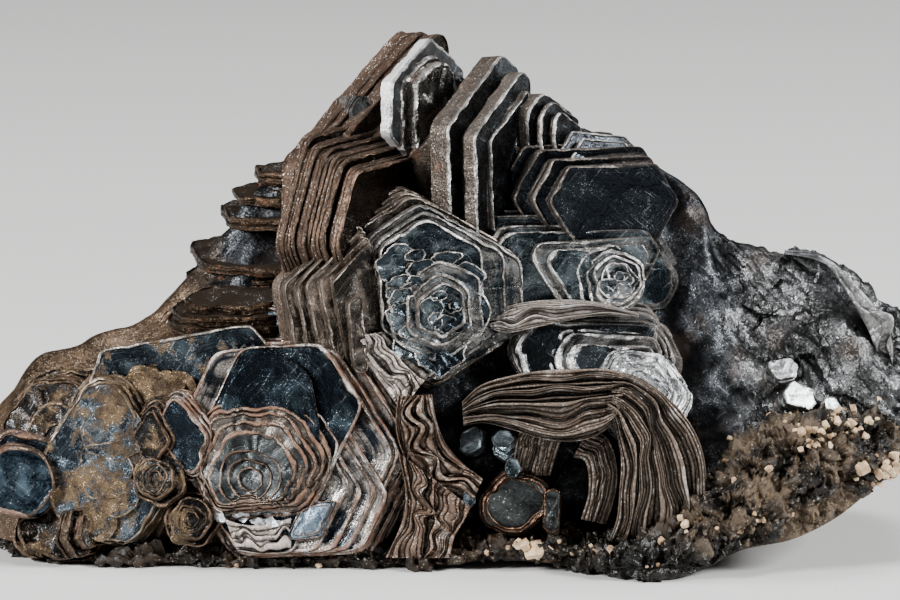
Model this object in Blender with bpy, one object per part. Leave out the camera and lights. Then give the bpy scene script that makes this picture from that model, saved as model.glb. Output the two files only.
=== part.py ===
"""A hematite specimen: a cluster of piled hexagonal plates, grown together, on a broken piece of host rock.

Metres, +Z up. The cluster faces -Y and stands on the flat underside of its rock, with the origin at the
middle of that base. Two pieces: hematite_cluster, in which every plate has grown into its neighbours,
and rock_matrix, the host rock that it grew on.
"""

import math

import bmesh
import bpy
from mathutils import Matrix, Vector, noise

MM = 0.001

# Driving dimensions, in millimetres.
SEAM_GAP = 0.3  # between the crystals and the rock that they grew on
LAP = 0.05  # how far each plate of a pile reaches into the one behind it
LEAF_STEPS = 8  # facets along a bent leaf
LEAF_STAGGER = 0.07  # how much deeper each leaf of a bent book goes than the one before
LEAF_OVERLAP = 0.12  # how far a leaf reaches under the next one, as a share of its own width
GROUND_GAP = 0.4  # how far the lowest crystal stays above the surface that the rock stands on
WELD = 0.000002  # metres: corners nearer than this are one
TO_ORIGIN = (0.224, -0.559, 0.0)  # moves the middle of the base to the origin

# How rough the hematite mass and the rock are: how far points are moved, and how far apart they are unlike.
NOISE_SEED = 7  # without it the noise would differ from one run to the next
BROKEN_START, BROKEN_BLEND = 12.0, 5.0  # where the broken end starts, and how soon it is at its roughest
GROWN_ROUGHNESS, BROKEN_ROUGHNESS, FRONT_GRAIN = 0.4, 0.9, 3.1  # the broken end's comes on top of the grown
BACK_ROUGHNESS, BACK_GRAIN = 1.3, 3.7
ROCK_ROUGHNESS, ROCK_GRAIN = 0.9, 2.3
THIN_ROCK_SHARE = 0.35  # where the rock is thin, its roughness is at most this share of its thickness

# The layout is given as it shows from in front: so far right, so far up and so far back.
EYE_DISTANCE = 420.0
EYE_ELEVATION = math.radians(10.0)
EYE_LEVEL = 16.3  # height of the point that the eye looks at
SHOWN_LEVEL = 19.0  # how far up that point shows


def seen(right, up, back):
    """The point, so far back, that shows so far right and up to an eye in front and a little above."""
    sine, cosine = math.sin(EYE_ELEVATION), math.cos(EYE_ELEVATION)
    rise = up - SHOWN_LEVEL
    height = (rise * (1 + back * cosine / EYE_DISTANCE) - back * sine) / (cosine + rise * sine / EYE_DISTANCE)
    away = 1 + (back * cosine - height * sine) / EYE_DISTANCE
    return Vector((right * away, back, EYE_LEVEL + height))


def facing(turned, tipped):
    """Axes of a plate: its own right, its own up, and its normal, turned to the right and tipped up."""
    turned, tipped = math.radians(turned), math.radians(tipped)
    level = Vector((math.sin(turned), -math.cos(turned), 0))
    normal = level * math.cos(tipped) + Vector((0, 0, math.sin(tipped)))
    own_up = (Vector((0, 0, 1)) - normal * normal.z).normalized()
    return own_up.cross(normal), own_up, normal


def outline(spin, sides):
    """Corners of a plate whose sides lie at these distances from its middle, 60 degrees apart."""
    reach = 4 * max(sides)
    corners = [Vector((x, y)) for x, y in ((-reach, -reach), (reach, -reach), (reach, reach), (-reach, reach))]
    for number, distance in enumerate(sides):
        angle = math.radians(spin + 60 * number)
        outward = Vector((math.cos(angle), math.sin(angle)))
        kept = []
        for here, after in zip(corners, corners[1:] + corners[:1]):
            inside, inside_after = distance - here.dot(outward), distance - after.dot(outward)
            if inside >= 0:
                kept.append(here)
            if inside * inside_after < 0:
                kept.append(here.lerp(after, inside / (inside - inside_after)))
        corners = kept
    return corners


def new_object(name, mesh_builder):
    mesh = bpy.data.meshes.new(name)
    mesh_builder.transform(Matrix.Scale(MM, 4))
    bmesh.ops.recalc_face_normals(mesh_builder, faces=mesh_builder.faces)
    mesh_builder.to_mesh(mesh)
    mesh_builder.free()
    made = bpy.data.objects.new(name, mesh)
    bpy.context.scene.collection.objects.link(made)
    return made


def prism(name, corners, middle, axes, bottom, top):
    """One plate: its outline, from one level to another along its normal."""
    own_right, own_up, normal = axes
    build = bmesh.new()
    low, high = (
        [build.verts.new(middle + own_right * c.x + own_up * c.y + normal * level) for c in corners]
        for level in (bottom, top)
    )
    build.faces.new(low)
    build.faces.new(high)
    for here, after, after_high, here_high in zip(low, low[1:] + low[:1], high[1:] + high[:1], high):
        build.faces.new((here, after, after_high, here_high))
    return new_object(name, build)


def pile(name, place, face, spin, sides, base, plates):
    """A pile of plates. Each plate is (level of its face, growth, right, up): how much further out than
    `sides` it has grown, or six side distances of its own, and how far it lies off the pile's axis. The pile
    starts at level `base`."""
    middle, axes = seen(*place), facing(*face)
    made, bottom = [], base
    for number, (top, growth, right, up) in enumerate(plates):
        corners = outline(spin, growth if isinstance(growth, tuple) else [side + growth for side in sides])
        centre = middle + axes[0] * right + axes[1] * up
        made.append(prism(f"{name}_{number}", corners, centre, axes, bottom - LAP, top))
        bottom = top
    return made


def along(points, share):
    """The point at this share of the way through the points, on a smooth curve through them all."""
    place = share * (len(points) - 1)
    start = min(int(place), len(points) - 2)
    part = place - start
    near = (points[max(0, min(len(points) - 1, start + step))] for step in (-1, 0, 1, 2))
    return tuple(
        0.5 * (2 * here + (after - before) * part
               + (2 * before - 5 * here + 4 * after - beyond) * part**2
               + (3 * here - before - 3 * after + beyond) * part**3)
        for before, here, after, beyond in zip(*near)
    )


def leaf(name, upper, lower, front, back, steps):
    """One leaf of a bent book: the band between two lines, as deep as from `front` to `back`."""
    build = bmesh.new()
    rings = []
    for step in range(steps + 1):
        share = step / steps
        over, under = along(upper, share), along(lower, share)
        rings.append([build.verts.new(seen(*spot)) for spot in (
            (*over, front), (*over, back), (*under, back), (*under, front))])
    for ring, following in zip(rings, rings[1:]):
        for a, b, c, d in zip(ring, ring[1:] + ring[:1], following[1:] + following[:1], following):
            build.faces.new((a, b, c, d))
    build.faces.new(rings[0])
    build.faces.new(rings[-1])
    return new_object(name, build)


def bent_book(name, outer, inner, fronts, back, steps):
    """Leaves packed from an outer line to an inner one, each as far forward as `fronts` says."""
    made = []
    for number, front in enumerate(fronts):
        begins, ends = number / len(fronts), (number + 1 + LEAF_OVERLAP) / len(fronts)
        upper, lower = (
            [tuple(o + (i - o) * share for o, i in zip(out, inn)) for out, inn in zip(outer, inner)]
            for share in (begins, ends)
        )
        made.append(leaf(f"{name}_{number}", upper, lower, front, back + LEAF_STAGGER * number, steps))
    return made


# The plate piles: place (right, up, back), face (turned right, tipped up), spin, the six sides from the
# right-hand one round to the left, base level, and the plates (level, growth or own sides, right, up).
PILES = {
    "tall_book": (
        (-6.4, 19.6, 4.2), (58, 2), -4, (8, 18.6, 11.8, 7.8, 13, 12), -1.2,
        ((1.0, 0, 0, 0), (1.3, -0.3, 0, 0), (2.4, -0.1, 0, 0), (3.2, -1.5, 0, 0)),
    ),
    "white_chevron": (
        (-1.3, 31.7, 3.8), (58, 2), -4, (4, 4.2, 4.15, 4.85, 3.9, 5), -0.85,
        ((0, 0, 0, 0), (0.3, -2.2, 0.3, -0.2)),
    ),
    "broken_step": (
        (-0.9, 31.5, 2.3), (50, 6), -6, (2.2, 3.4, 3.0, 2.6, 3.5, 3.2), -2.0,
        ((-0.7, (2.3, 3.7, 3.3, 2.9, 3.7, 3.2), 0, 0), (0, (2.0, 3.3, 2.9, 2.2, 3.2, 3.2), 0, 0)),
    ),
    "grey_block": (
        (-5.8, 31.5, 2.6), (30, 10), 25, (0.9, 1.1, 0.8, 0.9, 1.1, 0.8), -3.0,
        ((-0.5, 0.1, 0, 0), (0, 0, 0, 0)),
    ),
    "stepped_book": (
        (2.6, 29.2, 1.6), (58, 2), 0, (4, 6.2, 4.2, 5, 8, 6), -1.5,
        ((0, 0, 0, 0), (0.5, -1.5, 0, 0), (1.5, -0.9, 0, 0), (1.8, -2.0, 0.3, 0)),
    ),
    "small_chevrons": (
        (7.0, 30.2, 3.4), (54, 2), 0, (2.2, 1.9, 3.1, 3.1, 3, 3), -1.8,
        ((0, 0, 0, 0), (0.3, -0.9, 0, 0), (0.75, -0.5, 0, 0), (1.0, -1.3, 0, 0), (1.4, -1.1, 0, 0)),
    ),
    "brown_book": (
        (-3.6, 23.3, -1.4), (57, 2), 31, (6.2, 4.95, 6.5, 6.0, 5.6, 7.0), -4.2,
        ((-3.7, (9.6, 7.1, 7.4, 6.9, 6.5, 7.9), 0, 0), (-3.0, (9.3, 6.55, 7.1, 6.6, 6.2, 7.6), 0, 0),
         (-2.3, (9.1, 6.3, 7.0, 6.5, 6.1, 7.5), 0, 0), (-1.6, (8.8, 5.8, 6.8, 6.3, 5.9, 7.3), 0, 0.1),
         (-1.0, (8.6, 5.65, 6.7, 6.2, 5.8, 7.2), 0, 0), (-0.6, (8.0, 5.15, 6.2, 5.7, 5.3, 6.7), 0, 0),
         (0, (8.2, 4.95, 6.4, 6.0, 5.6, 7.0), 0, 0)),
    ),
    "middle_rose_steps": (
        (-1.2, 19.6, -6.0), (14, 6), 0, (3.5, 4.05, 4.4, 3.5, 3.9, 4.3), -10.0,
        ((-7.0, (5.9, 5.6, 7.6, 7.2, 6.4, 6.2), 0, 0), (-6.0, (5.9, 5.5, 7.2, 6.6, 6.2, 6.2), 0, 0),
         (-5.0, (5.9, 5.5, 6.9, 6.1, 6.0, 6.2), 0, 0), (-4.0, (5.9, 5.4, 6.5, 5.5, 5.8, 6.2), 0, 0),
         (-3.0, (5.87, 5.3, 6.1, 4.9, 5.6, 6.2), 0, 0), (-2.2, (5.7, 5.2, 5.8, 4.4, 5.4, 6.0), 0, 0)),
    ),
    "middle_rose": (
        (-1.2, 19.6, -6.0), (14, 6), 0, (3.5, 4.05, 4.4, 3.5, 3.9, 4.3), -2.25,
        ((-1.2, (6.5, 4.9, 5.2, 4.1, 5.1, 5.8), 0, 0), (-0.7, (5.2, 4.6, 4.7, 3.75, 4.5, 5.1), 0, 0),
         (0, 0, 0, 0)),
    ),
    "middle_rose_left_steps": (
        (-7.2, 17.2, -7.5), (22, 4), 10, (3.2, 8.0, 4.1, 2.75, 4.0, 2.6), -4.0,
        ((-1.8, (3.2, 8.0, 4.3, 2.85, 4.0, 2.6), 0, 0), (-1.35, (3.2, 8.0, 3.95, 2.2, 4.0, 2.6), 0, 0),
         (-0.9, (3.2, 7.8, 3.6, 1.6, 4.0, 2.6), 0, 0), (-0.45, (3.2, 7.5, 3.2, 0.8, 4.0, 2.6), 0, 0),
         (0, (3.2, 7.2, 2.8, 0.0, 4.0, 2.6), 0, 0)),
    ),
    "middle_rose_heart": (
        (-0.7, 18.4, -6.2), (14, 6), 3, (2.0, 2.2, 2.2, 2.4, 2.4, 2.2), -0.6,
        ((0.30, (2.9, 3.0, 2.9, 3.4, 3.3, 3.0), 0, 0), (0.55, 0, 0, 0), (0.78, -0.55, 0.1, 0)),
    ),
    "middle_rose_chin": (
        (-1.5, 15.6, -6.3), (10, 2), 0, (1.8, 1.7, 1.7, 1.7, 1.5, 1.6), -3.0,
        ((-0.6, 0.3, 0, 0), (0, 0, 0, 0)),
    ),
    "right_plates": (
        (9.3, 21.0, -2.2), (8, 8), 30, (4.7, 2.6, 6.2, 6.0, 2.4, 5.5), -8.0,
        ((-2.8, 1.7, -0.5, 0.2), (-2.1, 1.3, -0.3, 0.1), (-1.4, 1.0, -0.2, 0.1), (-0.7, 0.4, 0, 0),
         (0, 0, 0, 0)),
    ),
    "right_inner_plate": (
        (9.6, 21.4, -2.65), (8, 8), 32, (4.2, 1.6, 4.0, 3.4, 3.6, 3.6), -1.0,
        ((0.15, 0, 0, 0), (0.35, (3.4, 1.1, 2.95, 2.7, 3.0, 3.0), 0, 0)),
    ),
    "right_rosette": (
        (11.0, 20.3, -2.8), (8, 8), 12, (2.2, 2.2, 2.3, 2.2, 2.3, 2.2), -1.0,
        ((0.1, 0.1, -0.3, 0), (0.3, -0.2, 0, 0), (0.5, -0.6, 0.1, 0)),
    ),
    "upper_right_plates": (
        (10.7, 25.6, -1.5), (12, 2), 30, (4.0, 2.4, 3.7, 3.6, 3.4, 4.2), -9.0,
        ((-4.6, 1.5, -2.2, -0.2), (-3.3, 1.2, -1.6, -0.1), (-2.2, 0.9, -1.0, 0), (-1.1, 0.4, -0.5, 0),
         (0, 0, 0, 0)),
    ),
    "lower_steps_left": (
        (7.9, 16.3, -4.6), (-4, 20), 28, (6.2, 1.9, 2.6, 3.6, 3.0, 5.0), -5.0,
        ((-1.5, (6.0, 3.1, 3.5, 4.0, 3.0, 5.0), 0, 0), (-1.0, (5.9, 2.35, 3.25, 3.9, 3.0, 5.0), 0, 0),
         (-0.35, (5.8, 1.6, 3.0, 3.75, 3.0, 5.0), 0, 0), (0, (5.7, 1.3, 2.8, 3.65, 3.0, 5.0), 0, 0)),
    ),
    "lower_steps_right": (
        (11.0, 15.3, -5.3), (-4, 22), 28, (3.0, 1.5, 3.6, 4.0, 2.4, 3.2), -5.0,
        ((-0.9, 0.9, 0, 0.2), (-0.45, 0.5, 0, 0.1), (0, -0.1, 0, 0), (0.25, -0.75, 0.2, -0.1)),
    ),
    "bright_plate": (
        (13.3, 13.9, -7.2), (14, 34), 26, (1.9, 1.9, 2.7, 2.9, 3.0, 3.0), -4.3,
        ((-0.8, 0.35, 0, 0), (-0.2, -0.15, 0, 0), (0.0, -0.75, -0.1, -0.1)),
    ),
    "front_rose": (
        (-12.0, 8.5, -9.0), (-12, 10), 36, (7.4, 7.2, 5.9, 5.7, 6.5, 7.2), -9.0,
        ((-5.8, (8.0, 7.4, 6.5, 6.3, 6.8, 8.6), 0, 0), (-4.9, (7.6, 7.1, 6.1, 5.9, 6.5, 8.1), 0, 0),
         (-4.0, (8.2, 7.6, 6.5, 6.2, 6.8, 8.7), 0, 0), (-3.2, (7.9, 7.4, 6.2, 6.0, 6.5, 8.2), 0, 0),
         (-2.5, (8.4, 7.8, 6.5, 6.3, 6.8, 8.6), 0, 0), (-1.7, (8.15, 7.6, 6.4, 6.2, 6.7, 8.1), 0, 0),
         (-1.1, (7.4, 6.9, 6.2, 6.0, 6.6, 7.6), 0, 0), (-0.85, (7.0, 7.1, 5.4, 5.4, 6.4, 7.2), 0, 0),
         (-0.70, (5.2, 5.0, 5.0, 5.2, 6.5, 8.1), 0, 0), (-0.52, (4.7, 5.0, 5.0, 5.1, 6.45, 7.3), 0, 0),
         (-0.36, (3.9, 5.0, 5.0, 5.0, 6.4, 6.5), 0, 0), (-0.20, (3.5, 7.25, 6.5, 3.0, 6.3, 5.5), 0, 0),
         (0, (7.1, 7.3, 5.0, 5.3, 6.3, 4.1), 0, 0)),
    ),
    "front_rose_side_left": (
        (-17.75, 9.7, -9.0), (-20, 8), 44, (1.5, 2.9, 1.9, 1.4, 2.4, 1.6), -2.0,
        ((-0.8, 0.5, -0.1, 0), (-0.4, 0.2, 0, 0), (0, 0, 0, 0)),
    ),
    "front_rose_side_right": (
        (-9.2, 9.6, -9.15), (-12, 10), 36, (1.5, 1.9, 1.1, 1.2, 2.4, 1.9), -0.5,
        ((0.22, 0, 0, 0),),
    ),
    "front_rose_heart": (
        (-13.1, 7.1, -9.1), (-12, 10), 36, (4.9, 4.5, 4.1, 2.8, 2.5, 4.1), -0.6,
        ((0.25, (5.45, 4.85, 4.95, 3.6, 2.6, 4.4), 0, 0), (0.50, (5.1, 4.6, 4.75, 3.35, 2.2, 4.1), 0, 0),
         (0.78, (4.5, 4.3, 4.2, 3.0, 2.0, 3.7), 0, 0), (1.02, (3.9, 3.8, 3.5, 2.7, 1.8, 3.2), 0, 0),
         (1.20, (3.2, 3.1, 2.8, 2.5, 1.65, 2.6), 0, 0)),
    ),
    "dusted_plate": (
        (-22.9, 7.7, -8.0), (-14, 10), 30, (3.4, 5.8, 4.3, 4.4, 4.7, 4.2), -7.0,
        ((-2.4, 0.8, -0.2, 0), (-1.4, 0.4, 0, 0), (-0.5, 0.2, 0, 0), (0, 0, 0, 0)),
    ),
    "upper_left_ledge": (
        (-18.5, 12.0, -5.5), (-8, 6), 41, (7.5, 4.4, 5.8, 5.4, 4.0, 6.0), -9.0,
        ((-4.0, -0.7, 0.3, -0.3), (-2.4, -0.5, 0.2, -0.2), (-1.0, -0.25, 0.1, -0.1), (0, 0, 0, 0)),
    ),
    "ledge_step": (
        (-14.2, 16.5, -3.6), (-12, 14), 36, (3.5, 1.9, 2.6, 2.8, 2.0, 3.0), -6.0,
        ((-0.8, 0.3, -0.2, 0.1), (-0.3, 0.1, 0, 0.05), (0, 0, 0, 0)),
    ),
    "ledge_back_slab": (
        (-14.0, 18.4, -1.0), (-10, 84), 34, (3.6, 2.6, 3.6, 4.2, 3.0, 3.4), -1.8,
        ((0.3, 0.2, 0, 0), (0.9, -0.4, 0.2, 0)),
    ),
    "outer_left_plates": (
        (-26.2, 9.3, -4.5), (-24, 14), 36, (3.5, 4.4, 4.2, 4.0, 5.0, 4.0), -7.0,
        ((-2.4, 1.0, 0.2, 0.1), (-1.6, 0.6, 0, 0), (-0.8, 0.3, 0, 0), (0, 0, 0, 0), (0.5, -1.2, 0.6, -0.3),
         (0.9, -2.3, 1.0, -0.6)),
    ),
    "far_left_plate": (
        (-28.8, 6.9, -8.2), (6, 6), 20, (2.3, 2.3, 2.3, 2.2, 2.3, 2.3), -6.0,
        ((-1.4, 0.5, 0.3, 0.2), (0, 0, 0, 0)),
    ),
    "small_rose_upper": (
        (-19.7, 7.1, -9.6), (-10, 16), 10, (1.3, 1.3, 1.3, 1.3, 1.3, 1.3), -4.0,
        ((-0.5, 0.4, 0.2, 0), (0, 0, 0, 0)),
    ),
    "small_rose_lower": (
        (-17.3, 4.4, -9.8), (-6, 12), 25, (1.4, 1.4, 1.4, 1.4, 1.4, 1.4), -5.0,
        ((-0.6, 0.4, 0, 0), (0, 0, 0, 0)),
    ),
    "small_stack": (
        (-19.8, 9.6, -8.8), (-18, 6), 30, (1.1, 2.1, 1.2, 1.2, 2.2, 1.1), -4.0,
        ((-1.2, 0.9, 0.1, 0), (-0.8, 0.6, 0, 0), (-0.4, 0.3, 0, 0), (0, 0, 0, 0)),
    ),
    "low_left_lump": (
        (-26.3, 3.7, -7.6), (-10, 30), 15, (2.6, 1.6, 2.2, 2.6, 1.8, 2.4), -5.0,
        ((-0.7, 0.5, 0, 0), (0, 0, 0, 0)),
    ),
    "low_blade": (
        (-24.2, 3.6, -8.2), (48, 14), 30, (1.6, 1.6, 1.7, 2.0, 1.6, 1.8), -1.0,
        ((0, 0, 0, 0), (0.6, -0.5, 0, 0)),
    ),
    "back_left_ledges": (
        (-11.2, 26.3, 6.0), (-20, 86), 30, (3.0, 3.0, 3.2, 3.2, 3.0, 3.0), -12.0,
        ((-6.0, 3.2, 0, 0), (-4.6, 2.3, 0, 0), (-4.0, 2.9, 0, 0), (-1.9, -0.2, 0, 0), (-1.2, 0.8, 0, 0),
         (-0.5, -0.8, 0, 0), (0, 0, 0, 0), (1.6, -1.0, 0.5, 0)),
    ),
    "back_left_foot": (
        (-16.0, 18.4, 2.4), (-30, 30), 36, (3.6, 2.2, 2.8, 3.0, 3.6, 4.0), -6.0,
        ((-1.8, 1.0, 0, 0), (-0.9, 0.5, 0, 0), (0, 0, 0, 0)),
    ),
    "crest_step": (
        (9.8, 28.4, 0.8), (26, 26), 20, (2.6, 1.4, 1.6, 1.8, 2.4, 3.0), -4.0,
        ((-0.7, 0.7, 0, 0), (0, 0, 0, 0)),
    ),
    "cavity_crystal": (
        (4.3, 5.4, -9.2), (2, 6), 12, (2.2, 1.9, 1.8, 2.1, 1.9, 1.8), -4.0,
        ((-0.4, 0.2, 0, 0), (0, 0, 0, 0)),
    ),
    "cavity_prism": (
        (6.8, 5.0, -9.6), (-4, 20), 0, (0.5, 1.3, 1.3, 0.5, 1.3, 1.3), -4.0,
        ((0, 0, 0, 0),),
    ),
    "cavity_bud": (
        (3.7, 9.5, -8.0), (-20, 30), 20, (0.9, 0.7, 0.8, 0.9, 0.9, 0.8), -3.5,
        ((-0.3, 0.1, 0, 0), (0, -0.2, 0, 0)),
    ),
    "cavity_bud_left": (
        (1.4, 9.7, -7.4), (-10, 20), 0, (0.7, 1.0, 0.8, 0.7, 1.0, 0.8), -3.5,
        ((0, 0, 0, 0),),
    ),
}

# The bent books: outer line, inner line (right, up), how far forward each leaf comes, and the back.
BENT_BOOKS = {
    "arched_book": (
        ((0.8, 12.3), (3.0, 13.7), (6.0, 14.3), (9.3, 14.3), (11.7, 14.1), (13.7, 13.1), (15.8, 11.4),
         (16.7, 9.0), (17.2, 5.7), (17.3, 2.7)),
        ((1.0, 10.4), (3.2, 10.6), (6.0, 9.9), (8.7, 9.9), (10.3, 10.3), (11.2, 9.7), (11.5, 8.3),
         (11.3, 6.3), (11.0, 4.3), (10.3, 2.7)),
        (-10.2, -10.9, -10.5, -11.5, -10.9, -11.7, -11.1, -11.4, -10.8, -10.1), -3.0,
    ),
    "inner_leaves": (
        ((8.1, 11.0), (7.3, 9.3), (6.7, 7.3)),
        ((4.9, 11.1), (4.4, 9.4), (4.1, 7.2)),
        (-7.8, -8.7, -8.1, -8.5), -3.2,
    ),
    "inner_fold": (
        ((9.2, 10.4), (10.5, 9.8), (11.1, 8.2), (11.1, 6.2), (10.4, 4.0)),
        ((8.2, 8.5), (8.9, 8.3), (9.2, 7.5), (9.2, 6.0), (8.7, 4.4)),
        (-8.3, -9.2, -8.8), -3.1,
    ),
    "swept_book": (
        ((-3.5, 12.6), (-3.6, 10.3), (-2.9, 8.3), (-1.2, 6.4), (1.4, 5.3)),
        ((-1.2, 12.7), (-0.9, 11.0), (-0.2, 9.3), (1.0, 8.0), (2.2, 7.1)),
        (-9.0, -9.55, -9.05, -9.75, -9.25, -9.65), -2.05,
    ),
    "standing_book": (
        ((-3.5, 8.9), (-3.0, 6.4), (-3.2, 4.3), (-4.3, 1.8)),
        ((1.4, 5.2), (0.9, 4.2), (0.3, 3.2), (0.0, 1.8)),
        (-9.85, -10.35, -9.6, -10.15, -9.45), -2.15,
    ),
    "slanting_leaves": (
        ((-7.0, 16.4), (-5.0, 14.0), (-3.3, 11.6)),
        ((-4.5, 16.9), (-3.0, 15.3), (-1.4, 14.0)),
        (-7.83, -7.26, -7.77, -6.94), -1.1,
    ),
    "bright_ridge": (
        ((21.6, 22.2), (24.6, 22.1), (26.6, 20.6), (28.4, 18.6), (29.4, 16.0)),
        ((21.9, 21.0), (24.4, 20.5), (25.9, 18.9), (26.9, 17.2), (27.9, 15.4)),
        (-2.6, -3.4), 3.0,
    ),
}

# Piles on the side away from the eye, laid out in the same way.
BACK_PILES = {
    "back_rose": (
        (-6.5, 20.0, 12.0), (168, 8), 24, (5.4, 5.0, 5.6, 5.2, 5.4, 5.0), -9.0,
        ((-3.2, 1.6, 0.6, 0), (-1.8, 0.9, 0.2, 0), (-0.8, 0.4, 0, 0), (0, 0, 0, 0), (0.6, -2.0, 0.3, -0.4)),
    ),
    "back_upper_plates": (
        (1.2, 28.4, 8.5), (186, 16), 0, (3.8, 4.4, 3.6, 3.8, 4.4, 4.0), -7.0,
        ((-2.4, 1.2, 0, 0), (-1.2, 0.6, 0.2, 0), (0, 0, 0, 0)),
    ),
    "back_left_plates": (
        (-17.5, 14.2, 10.0), (204, 14), 36, (4.4, 3.6, 4.2, 4.6, 3.8, 4.4), -8.0,
        ((-2.6, 1.3, 0, 0.2), (-1.2, 0.6, 0, 0), (0, 0, 0, 0)),
    ),
    "back_right_plates": (
        (8.5, 17.6, 12.4), (150, 12), 12, (4.8, 4.2, 4.4, 4.8, 4.4, 4.2), -8.0,
        ((-2.6, 1.4, 0, 0.2), (-1.3, 0.7, 0, 0), (0, 0, 0, 0)),
    ),
    "back_low_rose": (
        (-3.0, 9.0, 12.6), (188, 4), 18, (3.2, 3.0, 3.2, 3.0, 3.2, 3.0), -6.0,
        ((-1.2, 0.8, 0, 0), (0, 0, 0, 0), (0.5, -1.2, 0, 0)),
    ),
    "back_end_plate": (
        (19.5, 13.4, 9.6), (146, 20), 30, (3.4, 2.8, 3.0, 3.4, 3.0, 3.2), -7.0,
        ((-1.2, 0.8, 0, 0), (0, 0, 0, 0)),
    ),
}

# Cleavage faces of the broken end: small flats that stand a little out of it.
CLEAVAGE_FLATS = {
    "flat_wide": ((23.4, 13.1, -7.4), (26, 30), 8, (1.5, 0.9, 1.0, 1.6, 0.7, 1.2), -4.0, ((0, 0, 0, 0),)),
    "flat_low": ((25.4, 11.7, -7.4), (34, 24), 20, (1.2, 1.5, 0.7, 1.0, 1.3, 0.8), -4.0, ((0, 0, 0, 0),)),
    "flat_upper": ((22.3, 14.5, -6.4), (16, 36), 40, (0.9, 0.6, 1.1, 1.0, 0.8, 0.9), -4.0, ((0, 0, 0, 0),)),
    "block_left": ((19.4, 17.2, -4.4), (8, 34), 14, (2.2, 1.1, 1.9, 2.0, 1.5, 1.4), -5.0, ((0, 0, 0, 0),)),
    "block_middle": ((22.8, 18.8, -3.0), (30, 38), 50, (2.4, 1.2, 1.9, 2.1, 1.0, 1.9), -5.0, ((0, 0, 0, 0),)),
    "block_end": ((29.0, 13.8, -4.6), (40, 16), 24, (1.6, 2.6, 1.2, 1.7, 2.2, 1.4), -5.0, ((0, 0, 0, 0),)),
    "slope_step": ((15.9, 18.8, -3.6), (14, 24), 64, (2.4, 2.0, 2.6, 1.8, 2.4, 1.6), -5.0, ((0, 0, 0, 0),)),
    "slope_upper": ((14.0, 24.2, -1.0), (38, 36), 66, (2.6, 1.6, 2.8, 2.4, 2.0, 2.2), -5.0, ((0, 0, 0, 0),)),
}

# The mass behind the piles, from the left end to the right one: where its crest shows (right, up, back),
# then how far back its front lies at the foot, a third and two thirds up, its back at the same levels, and
# the height of its foot, which is inside the rock.
MASS_STATIONS = (
    ((-30.6, 11.0, 1.0), (-3.2, -3.0, -1.6), (4.6, 4.0, 3.0), 0.8),
    ((-28.0, 14.9, 1.5), (-5.4, -5.0, -2.4), (7.0, 6.4, 4.6), 0.8),
    ((-24.0, 16.4, 2.0), (-6.2, -5.4, -3.0), (8.2, 8.6, 6.4), 0.8),
    ((-19.5, 18.3, 3.0), (-6.6, -5.0, -2.6), (9.4, 10.0, 7.6), 0.8),
    ((-16.0, 22.2, 4.0), (-6.6, -4.4, -1.8), (10.0, 10.6, 8.6), 0.8),
    ((-12.8, 26.0, 4.6), (-6.6, -4.0, 0.2), (10.6, 11.4, 9.2), 0.8),
    ((-10.4, 27.4, 5.0), (-6.4, -3.6, 1.4), (10.8, 11.6, 9.6), 0.8),
    ((-8.2, 29.0, 5.4), (-6.2, -3.4, 1.8), (11.2, 12.0, 9.4), 0.8),
    ((-5.6, 32.4, 5.6), (-6.2, -3.4, 1.8), (11.2, 12.0, 9.4), 0.8),
    ((-2.6, 34.0, 5.6), (-6.0, -3.2, 1.8), (11.4, 12.2, 9.0), 0.8),
    ((0.2, 33.8, 5.2), (-6.0, -3.2, 1.6), (11.4, 12.2, 9.0), 0.8),
    ((3.6, 32.0, 5.2), (-6.0, -3.0, 1.2), (11.4, 12.4, 9.2), 0.8),
    ((6.4, 30.4, 4.8), (-6.0, -3.0, 0.8), (11.4, 12.6, 9.4), 0.8),
    ((9.4, 30.3, 3.6), (-6.4, -3.2, 0.4), (11.4, 12.6, 9.2), 0.8),
    ((12.4, 28.8, 3.0), (-7.0, -3.8, -0.2), (11.2, 12.2, 8.6), 0.8),
    ((14.6, 27.3, 2.6), (-7.6, -4.4, -0.8), (11.0, 11.8, 8.0), 0.8),
    ((16.6, 25.6, 2.2), (-8.4, -5.4, -1.4), (10.8, 11.4, 7.6), 1.2),
    ((18.4, 23.3, 1.6), (-8.8, -6.2, -2.0), (10.8, 11.0, 7.2), 2.4),
    ((21.0, 22.5, 1.4), (-8.8, -6.8, -2.4), (10.2, 10.4, 7.0), 3.2),
    ((23.8, 22.0, 1.2), (-8.4, -7.0, -2.8), (9.4, 9.8, 6.6), 4.2),
    ((26.4, 20.8, 1.0), (-7.8, -6.6, -2.8), (8.4, 8.8, 6.0), 5.4),
    ((28.8, 19.1, 0.8), (-6.6, -5.8, -2.6), (7.0, 7.4, 5.0), 6.8),
    ((30.6, 17.3, 0.8), (-4.2, -4.0, -2.0), (4.2, 4.6, 3.4), 7.6),
)
MASS_LEVELS = (0.0, 0.34, 0.68)  # shares of a station's height at which its front and its back are given
CREST_LEAN = 0.55  # the shoulders in front of the crest and behind it lie this share of the way in to it
SHOULDER_HEIGHT, BROW_HEIGHT = 0.88, 0.90  # heights of those two shoulders, as shares of the crest's

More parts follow.
